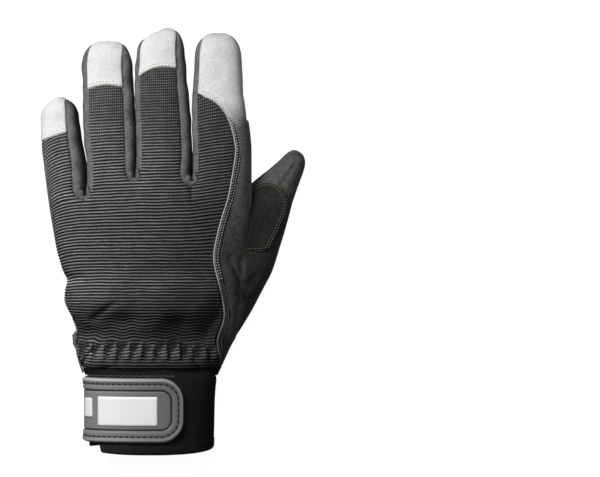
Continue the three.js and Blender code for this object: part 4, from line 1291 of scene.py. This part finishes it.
# %% Build the index patch
INDEX_EDGE = (  # y, x of the patch's inner edge in the palm
    (4, 36.5), (25.6, 35.8), (40, 35.2), (50, 34.6), (60, 33.0), (84.0, 31.8), (88.0, 34.0),
)
INDEX_ROWS = 140
INDEX_ANGLES = (200.0, 360.0)
HALVINGS = 30
DEGREE = 0.3  # millimetres that a degree is drawn as on the flat pattern


def index_point(y, angle, out):
    hand, finger = hand_point(min(y, HAND[-1][0]), angle, out), finger_point(3, y, 0, angle, out)
    above = y - knuckle_at(3.5)[1]
    x, z = mix(hand[0], finger[0], smooth(-14, 10, above)), mix(hand[1], finger[2], smooth(-16, 8, above))
    return Vector((x, y, z))


def index_angle(y, x):
    """The angle at which the underside of the index side lies at x, found by halving."""
    low, high = INDEX_ANGLES
    for _ in range(HALVINGS):
        angle = (low + high) / 2
        low, high = (angle, high) if index_point(y, angle, 0).x < x else (low, angle)
    return low


inner_rows = [mix(INDEX_EDGE[0][0], INDEX_EDGE[-1][0], i / INDEX_ROWS) for i in range(INDEX_ROWS + 1)]
inner = [(index_angle(y, at(INDEX_EDGE, y)[0]) * DEGREE, y) for y in inner_rows]
outer = [(364 * DEGREE, 88.4), (366 * DEGREE, 60), (366 * DEGREE, 30), (362 * DEGREE, 4)]
bm, rim = cut_out(rounded(inner + outer, 1.5), 1.0)
set_uv(bm, "folds", {v: (1, 0) for v in bm.verts})
for v in bm.verts:
    y, angle = v.co.y, v.co.x / DEGREE
    out = rolled(rim[v], 0.5, 1.1, 1.2)
    v.co = index_point(y, angle, out)
    hit = under([palm_tree], v.co.x, y)
    if hit:
        seated = smooth(0.45, 0.75, -hit[1].z) * (1 - smooth(58, 68, y))
        v.co.z = mix(v.co.z, max(hit[0].z - out, 0), seated)
sheet_piece(bm, lambda p: Vector((40, p.y, 20)), "suede_patch_index", PALM_SUEDE, "index_patch",
            PATCH_THICK)

# %% [markdown]
# The thumb's patch is black and lies over the thumb's back, from beside the hand almost to the outer edge.
# Its outline is measured along and across the thumb.

# %% Build the thumb's patch
THUMB_OUTLINE = rounded([(-14.5, 72), (-14.5, 34), (-12.5, 28.5), (-7.2, 24.4), (-2.6, 22.8), (3.5, 23.8),
                         (7.6, 26.8), (10.0, 31), (11.2, 36), (12.2, 47.5), (12.4, 59.5), (2.7, 65.0)], 2.5)


def thumb_surface(across, along, out):
    offset, half, middle, height = at(THUMB, along)
    inner = clamp(across, offset - 0.985 * half, offset + 0.985 * half)
    return thumb_point(along, 0, angle_at((offset, half), inner, THUMB_POWER), out)


bm, rim = cut_out(THUMB_OUTLINE, 1.0)
for v in bm.verts:
    v.co = thumb_surface(v.co.x, v.co.y, rolled(rim[v], 0.4, 1.1, 1.5) + 0.3 * creases(v.co, 0.05, 1))
thumb_patch_tree = sheet_piece(bm, lambda p: Vector((p.x, p.y, 5)), "suede_patch_thumb", BLACK_SUEDE,
                               "thumb_patch", PATCH_THICK)

# %% [markdown]
# ## The cuff
# A band of black elastic, hemmed at the bottom and slit on the little finger's side, where its two ends
# meet under the strap. Its top runs up inside the panels.

# %% Build the cuff
CUFF = (  # y, left, right, middle, half height
    (-108, -36.3, 37.6, 19.6, 19.9), (-80, -37.2, 38.3, 19.6, 19.9), (-70, -37.4, 38.8, 19.6, 18.8),
    (-63.4, -37.6, 39.3, 19.6, 17.2), (-60.5, -37.0, 38.2, 19.6, 14.9), (-55, -36.6, 37.0, 19.6, 13.6),
)
WRIST_Z = 19.6
CUFF_POWER = 2.3
SLIT = (183, 188.5)
CUFF_LOW, CUFF_HIGH = -104.2, -56
CUFF_COLUMNS, CUFF_ROWS = 170, 46


def wrist_axis(p):
    return Vector((0, p.y, WRIST_Z))


def cuff_point(y, angle, out, section_y=None):
    left, right, middle, half = at(CUFF, y if section_y is None else section_y)
    section = ((left + right) / 2, (right - left) / 2, middle, half, half)
    x, z = section_point(section, angle, out, CUFF_POWER, CUFF_POWER)
    return Vector((x, y, max(z, -min(out, 0))))


bm, column, row = grid(CUFF_COLUMNS, CUFF_ROWS)
uv = {}
for v in bm.verts:
    angle = mix(SLIT[1], SLIT[0] + 360, v[column] / CUFF_COLUMNS)
    low = CUFF_LOW - 3.6 * max(0, sin(radians(angle))) + 4.2 * smooth(499, 502, angle)
    y = mix(low, CUFF_HIGH, v[row] / CUFF_ROWS)
    hem = 0.35 * (1 - smooth(5, 6, y - low)) - 0.5 * (1 - smooth(0, 0.8, y - low))
    ripple = 0.35 * wander(angle * 0.05, y * 0.06, 2)
    v.co = cuff_point(y, angle, -0.3 + hem + ripple)
    uv[v] = (angle * 0.62, y)
set_uv(bm, "rows", uv)
cuff_tree = sheet_piece(bm, wrist_axis, "elastic_cuff", ELASTIC, "cuff", 1.5)

# %% [markdown]
# ## The strap
# The strap is a moulding: a fat rounded rim, a groove, a raised band, a finer groove, and a flat field with
# the label. Worked out as a height over the distance from the edge, one short table makes all of it, also
# round the corners.

# %% Build the strap
STRAP_LOW, STRAP_HIGH = -100.5, -62.5
STRAP_ANGLES = (196, 62.6)
STRAP_CORNER = 13.5
STRAP_Y = -80  # the section of the wrist that the whole strap follows
STRAP_FACE = 1.5
ARC_STEPS = 120
# the tone column is a painted highlight on the raised rim and painted shade in the grooves
RELIEF = (  # distance from the edge, height over the strap's base, tone
    (0, 0.3, 0.1), (0.3, 1.1, 0.4), (0.8, 1.9, 1.0), (1.4, 2.4, 1.0), (1.9, 2.5, 0.5), (2.5, 2.25, 0.0),
    (3.1, 1.95, -0.14), (3.6, 1.85, -0.22), (4.1, 1.9, -0.14), (4.8, 2.0, 0.12), (5.8, 2.0, 0.25),
    (6.6, 1.9, 0.2), (7.0, 1.6, 0.0), (7.3, 1.05, -0.6), (7.7, 1.05, -0.6), (8.0, 1.4, 0.0), (8.7, 1.5, 0.08),
    (9.5, 1.48, 0.0), (11.5, 1.45, 0.0), (13, 1.42, 0.0), (16, 1.42, 0.0), (19.0, 1.42, 0.0),
)


def strap_arc():
    """Angles against the millimetres that they are along the strap."""
    angles = [mix(*STRAP_ANGLES, i / ARC_STEPS) for i in range(ARC_STEPS + 1)]
    points = [cuff_point(STRAP_Y, angle, STRAP_FACE) for angle in angles]
    rows, length = [(0.0, angles[0])], 0.0
    for a, b, angle in zip(points, points[1:], angles[1:]):
        length += (b - a).length
        rows.append((length, angle))
    return rows


ARC = strap_arc()
STRAP_END = ARC[-1][0]


def strap_place(along, y, out):
    """A point on the strap, from its place on the flat moulding."""
    along = clamp(along, 0, STRAP_END)
    k = next(i for i in range(ARC_STEPS) if ARC[i + 1][0] >= along - 1e-6)
    a, b = ARC[k], ARC[k + 1]
    angle = mix(a[1], b[1], clamp((along - a[0]) / (b[0] - a[0])))
    return cuff_point(y, angle, 0.3 + out, STRAP_Y)


def strap_line(inset, steps=(100, 16, 22)):
    """The strap's outline, inset by a distance: top edge, round end, bottom edge, as flat points."""
    long, turn, upright = steps
    corner = max(STRAP_CORNER, inset)
    radius = corner - inset
    right = STRAP_END - corner
    points = [(right * i / long, STRAP_HIGH - inset) for i in range(long)]
    for i in range(turn):
        a = pi / 2 * i / turn
        points.append((right + radius * sin(a), STRAP_HIGH - corner + radius * cos(a)))
    for i in range(upright):
        points.append((right + radius, mix(STRAP_HIGH - corner, STRAP_LOW + corner, i / upright)))
    for i in range(turn):
        a = pi / 2 * i / turn
        points.append((right + radius * cos(a), STRAP_LOW + corner - radius * sin(a)))
    points += [(right * (1 - i / long), STRAP_LOW + inset) for i in range(long + 1)]
    return points


lines = [strap_line(row[0]) for row in RELIEF]
bm, column, row = grid(len(lines[0]) - 1, len(RELIEF) - 1)
relief = {}
for v in bm.verts:
    inset, height, tone = RELIEF[v[row]]
    relief[v] = (tone, 0)
    v.co = strap_place(*lines[v[row]][v[column]], height)
set_uv(bm, "relief", relief)
bmesh.ops.remove_doubles(bm, verts=bm.verts, dist=0.004)
sheet_piece(bm, wrist_axis, "rubber_strap", RUBBER, "strap", 0.45)
print("strap length", round(STRAP_END, 1), "mm")

# %% [markdown]
# The white label is a thin plate with softened edges in the middle of the field, and a small white tag
# sits beside it. Both are left bare.


# %% Build the label and the tag
def along_at(x):
    """Millimetres along the strap at which its upper face lies at x."""
    def miss(tenths):
        p = strap_place(tenths / 10, STRAP_Y, STRAP_FACE)
        return abs(p.x - x) + (0 if p.z > SIDE_HEIGHT else 100)
    return min(range(int(STRAP_END * 10)), key=miss) / 10


def plate(name, left, right, low, high, corner):
    a, b = along_at(left), along_at(right)
    bm, rim = cut_out(rounded([(a, low), (b, low), (b, high), (a, high)], corner), 0.9)
    for v in bm.verts:
        v.co = strap_place(v.co.x, v.co.y, 1.45 + 0.55 * sqrt(clamp(rim[v] / 0.4 + 0.1)))
    sheet_piece(bm, wrist_axis, f"white_{name}", LABEL, f"strap_{name}", 0.4)


plate("label", -30.1, 5.2, -90.7, -73.4, 0.5)
plate("tag", -38.0, -33.3, -86.1, -74.5, 1.6)

# %% [markdown]
# ## Stitches
# One stitch is a small flattened bead. A row of them follows a line on a surface, a little sunk, each
# turned along the line. Hundreds of stitches are joined into one mesh for each part of the glove.


# %% Stitch tools
def resample(points, spacing):
    """Points at even spacing along a line."""
    out, left = [points[0]], spacing
    for a, b in zip(points, points[1:]):
        length = (b - a).length
        while length >= left and length > 0:
            a = a.lerp(b, left / length)
            out.append(a)
            length -= left
            left = spacing
        left -= length
    return out


SUNK = 0.25  # of a bead's height is how far its middle stands above the surface


def add_stitches(bm, points, normals, length=2.1, wide=0.34, high=0.26, tilt=0.0, shift=0.5):
    """Beads on a line of evenly spaced points."""
    for i in range(len(points) - 1):
        a, b = points[i], points[i + 1]
        along = (b - a).normalized()
        up = (normals[i] + normals[i + 1]).normalized()
        side = up.cross(along).normalized()
        up = along.cross(side)
        if tilt:
            along, side = (along * cos(tilt) + side * sin(tilt)), (side * cos(tilt) - along * sin(tilt))
        m = Matrix((along * length / 2, side * wide, up * high)).transposed().to_4x4()
        m.translation = a.lerp(b, shift) + up * high * SUNK
        bmesh.ops.create_uvsphere(bm, u_segments=6, v_segments=5, radius=1, matrix=m)


def lay(path, find, spacing):
    """Lay a flat path on a surface: even points, and the surface's direction at each."""
    flat = resample([Vector((x, y, 0)) for x, y in path], spacing / 3)
    found = [hit for hit in (find(p.x, p.y) for p in flat) if hit is not None]
    points = [f[0] for f in found]
    even = resample(points, spacing)
    normals = [found[min(range(len(points)), key=lambda k: (points[k] - e).length_squared)][1] for e in even]
    return even, normals


def shifted(path, distance):
    """A path moved sideways, to its left for a positive distance."""
    out = []
    for i, (x, y) in enumerate(path):
        (ax, ay), (bx, by) = path[max(i - 1, 0)], path[min(i + 1, len(path) - 1)]
        d = hypot(bx - ax, by - ay) or 1
        out.append((x - (by - ay) / d * distance, y + (bx - ax) / d * distance))
    return out


def stitch_piece(name, rows, find, material, slot, spacing, **bead):
    bm = bmesh.new()
    for path in rows:
        add_stitches(bm, *lay(path, find, spacing), **bead)
    add_piece(bm, name, material)


def double(path, first, second):
    return [shifted(path, first), shifted(path, second)]


def seen_from(up, *trees):
    """A way to find a surface from below (up) or from above."""
    return lambda x, y: under(trees, x, y, up)


def smooth_path(rows, count, swap=False):
    """Even steps through a table of y and x, or of x and y."""
    first, last = rows[0][0], rows[-1][0]
    steps = [mix(first, last, i / count) for i in range(count + 1)]
    return [((s, at(rows, s)[0]) if swap else (at(rows, s)[0], s)) for s in steps]


print("stitch tools are ready")

# %% [markdown]
# Double rows of pale thread hold the caps and the suede's edge beside the knit, and grey beads, painted dark
# as shade, its lower part. Smaller dark beads between them are painted shade in the needle's holes, and a flat
# dark strip is the painted shadow in the sunk line of the seam. The edge itself is a thin raised fold that
# catches the light, made as a bead along the seam.

# %% Seams of the back
SIDE_ROWS = (-1.25, -2.6)  # the two rows beside the knit, from its edge
SIDE_TILT = 0.6
# below LOW_Y the stitches are grey as painted shade
LOW_Y, TIP_Y = -6, 90  # below the one the thread is grey, and above the other it is white
on_caps, on_suede = seen_from(False, *cap_trees), seen_from(False, palm_tree)
suede_line = smooth_path(SUEDE_EDGE, 220)
side_line = [p for p in suede_line if p[1] < TIP_Y + 1]
side_rows = double(side_line, *SIDE_ROWS)
high_rows = double([p for p in side_line if p[1] > LOW_Y], *SIDE_ROWS)
low_rows = double([p for p in side_line if p[1] < LOW_Y], *SIDE_ROWS)
tip_rows = double([p for p in suede_line if p[1] >= TIP_Y], *SIDE_ROWS)
cap_rows = [row for seam in CAP_SEAMS for row in double(smooth_path(seam, 24, swap=True), 1.3, 2.9)]
hole = {"high": 0.1, "shift": 1.0}

stitch_piece("stitches_caps", cap_rows, on_caps, WHITE_THREAD, "label", 2.0, length=1.3, wide=0.38, high=0.34)
# painted shade: grey beads in the needle holes between the stitches
stitch_piece("holes_caps", cap_rows, on_caps, GREY_THREAD_AND_SHADE, "label", 2.0, length=0.6, wide=0.22, **hole)
# painted shadow: a flat dark strip along the sunk line of the seam
points, normals = lay(shifted(side_line, -1.95), on_suede, 1.5)
tube(points, normals, lambda share: 1.5 - 1.3 * smooth(0.8, 1, share), "seam_shadow", DARK_THREAD_AND_SHADE,
     flat=0.09)
# the low grey stitches and the dark beads between the stitches are painted shade
for name, rows, thread_used, slot, spacing, length, wide, high, shift in (
        ("stitches_side", high_rows, PALE_THREAD, "label", 1.6, 0.85, 0.36, 0.34, 0.5),
        ("stitches_side_low", low_rows, GREY_THREAD_AND_SHADE, "suede", 1.6, 0.8, 0.34, 0.3, 0.5),
        ("stitch_holes_side_painted_shade", side_rows, DARK_THREAD_AND_SHADE, "dark_suede", 1.6, 0.8, 0.42, 0.2, 1.0),
        ("stitches_tip", tip_rows, WHITE_THREAD, "label", 1.45, 1.0, 0.4, 0.38, 0.5)):
    stitch_piece(name, rows, on_suede, thread_used, slot, spacing, length=length, wide=wide, high=high,
                 shift=shift, tilt=SIDE_TILT)
# painted shade: grey beads in the needle holes of the tip's seam
stitch_piece("holes_tip", tip_rows, on_suede, GREY_THREAD_AND_SHADE, "label", 1.45, length=0.6, wide=0.25, **hole)
points, normals = lay(shifted(suede_line, -0.15), seen_from(False, knit_tree, palm_tree), 1.2)
points = [p + n * 0.25 for p, n in zip(points, normals)]
for _ in range(6):
    softer = [(a + b * 2 + c) / 4 for a, b, c in zip(points, points[1:], points[2:])]
    points = points[:1] + softer + points[-1:]
tube(points, normals, lambda share: 0.46, "piping_side", PIPING)

# %% [markdown]
# The thumb's patch is held by two rows of dull yellow thread, with a short pair beside it. The strap has long
# dark stitches inside its rim, and a zigzag of grey thread joins the knit to the cuff.

# %% Seams of the thumb and the strap
THUMB_LINE = [(59.2, 47.6), (63.2, 50.8), (68.6, 51.9), (73.5, 51.3), (77, 47.6), (80.3, 43.2),
              (80.7, 38.2), (79.4, 33.2), (74.9, 22.5), (71.3, 15.7), (69.4, 11.8)]
on_thumb = seen_from(False, thumb_patch_tree, thumb_back_tree)
thumb_rows = double(THUMB_LINE, -0.4, -1.7) + double([(81.2, 44.6), (86.6, 47.9)], 0.7, -0.7)
low_thumb_rows = double([(56.0, 11.2), (62, 11.6), (68.6, 11.8)], 1.2, -0.2)
stitch_piece("stitches_thumb", thumb_rows, on_thumb, OLIVE_THREAD, "label", 1.8, length=1.2, wide=0.32)
stitch_piece("stitches_thumb_low", low_thumb_rows, on_thumb, OLIVE_THREAD, "label", 1.8, length=1.3,
             wide=0.28)

bm = bmesh.new()
strap_rows = resample([strap_place(x, y, 1.9) for x, y in strap_line(3.6)], 3.5)
outwards = [(p - Vector((0.35, p.y, WRIST_Z))).normalized() for p in strap_rows]
add_stitches(bm, strap_rows, outwards, length=2.4, wide=0.5, high=0.34)
add_piece(bm, "stitches_strap", DARK_THREAD_AND_SHADE)

zigzag = [(-36.5 + 0.9 * i, -61.3 - 0.8 * (i % 2)) for i in range(58)]
stitch_piece("stitches_cuff", [zigzag], seen_from(False, cuff_tree, knit_tree), GREY_THREAD_AND_SHADE, "elastic", 1.7,
             length=0.9, wide=0.3)

# %% [markdown]
# The palm's patch is sewn round its rim and crossed by two double rows of pale thread, and a double row runs
# round the thumb's base.

# %% Seams of the palm
SEWN_SHARE = 0.8  # of the patch's outline, and the rest lies in the outer side seam
PALM_CROSS = (
    [(-43.6, -21.5), (-39.9, -13.3), (-23.7, 3.8), (-5.4, 18.7), (11.5, 36.5), (16.2, 42.2)],
    [(-33.4, 26.6), (-26.8, 13), (-23, 3.8), (-14.6, -15.5), (-7.7, -31.9)],
)
BASE_SEAM = [(17.7, 3.8), (8.4, -14.8), (6.2, -27.6), (10, -41.9), (20.7, -49.7), (33.4, -55)]
palm_rows = [row for path in PALM_CROSS for row in double(path, 0.8, -0.8)]
palm_rows += double(PALM_OUTLINE[: int(len(PALM_OUTLINE) * SEWN_SHARE)], 1.2, 2.8)
for name, rows, trees in (
        ("stitches_palm", palm_rows, (palm_patch_tree, palm_tree)),
        ("stitches_thumb_base", double(BASE_SEAM, -1.0, -2.6), (palm_tree, thumb_front_tree))):
    stitch_piece(name, rows, seen_from(True, *trees), PALE_THREAD, "label", 2.6, length=1.8, wide=0.34)

# %% [markdown]
# On the outer side of the wrist a scrap of light suede sticks out of the side seam, and the seam's edge
# shows as a thin pale line down to the strap.

# %% Build the side tab
TAB = ((-42.4, -36.6, 20), (-43.9, -37.2, 20.5), (-44.7, -39.0, 21), (-44.3, -41.0, 21.4), (-44.4, -42.6, 21),
       (-43.7, -44.6, 20.5), (-42.6, -46.0, 20))
SIDE_SEAM = ((-43.7, -44.5, 21.5), (-42.8, -48.5, 21.5), (-41.7, -53.5, 21.5), (-40.2, -58.0, 21),
             (-39.0, -61.5, 20.5))


def side_bead(name, line, spacing, radius):
    points = resample([Vector(p) for p in line], spacing)
    tube(points, [UP] * len(points), radius, name, PIPING)


side_bead("side_tab", TAB, 0.7, lambda share: 1.2 + 0.2 * sin(share * 28))
side_bead("side_seam", SIDE_SEAM, 1.0, lambda share: 0.62)

# %% [markdown]
# ## Light and floor
# The photograph was lit softly from the upper left on white. A soft lamp stands there, a larger one hangs
# above, and a pale floor, which glows a little, catches the glove's shadow.


# %% Floor and lamps
FLOOR_Z = -0.0002
KEY = ((-0.36, 0.40, 0.52), (-0.01, 0.03, 0.02), 0.26, 4.9)  # place and target in metres, size, watts
TOP = ((0.05, 0.30, 1.0), (0.0, 0.0, 0), 0.5, 2.0)


def floor():
    bm = bmesh.new()
    bmesh.ops.create_grid(bm, x_segments=8, y_segments=8, size=6)
    mesh = bpy.data.meshes.new("floor")
    bm.to_mesh(mesh)
    bm.free()
    p = Paint("pale_floor", Roughness=0.9, Emission_Strength=0.96)
    tone = p.noise(p.place(), 3, 2)
    mesh.materials.append(p.feed(Base_Color=p.blend(grey(0.20), grey(0.24), tone)))
    stage = bpy.data.objects.new("floor", mesh)
    stage.location.z = FLOOR_Z
    stage.visible_diffuse = False
    stage.visible_glossy = False
    bpy.context.scene.collection.objects.link(stage)


def lamp(name, place, target, size, power):
    data = bpy.data.lights.new(name, "AREA")
    data.shape, data.size, data.energy = "DISK", size, power
    obj = bpy.data.objects.new(name, data)
    obj.location = place
    obj.rotation_euler = (Vector(target) - Vector(place)).to_track_quat("-Z", "Y").to_euler()
    bpy.context.scene.collection.objects.link(obj)


floor()
lamp("key", *KEY)
lamp("top", *TOP)
scene = bpy.context.scene
world = bpy.data.worlds.new("studio")
world.use_nodes = True
background = world.node_tree.nodes["Background"]
background.inputs["Color"].default_value = (1, 1, 1, 1)
background.inputs["Strength"].default_value = 0.09
scene.world = world
scene.view_settings.view_transform = "Standard"
scene.view_settings.look = "None"
print("lit")
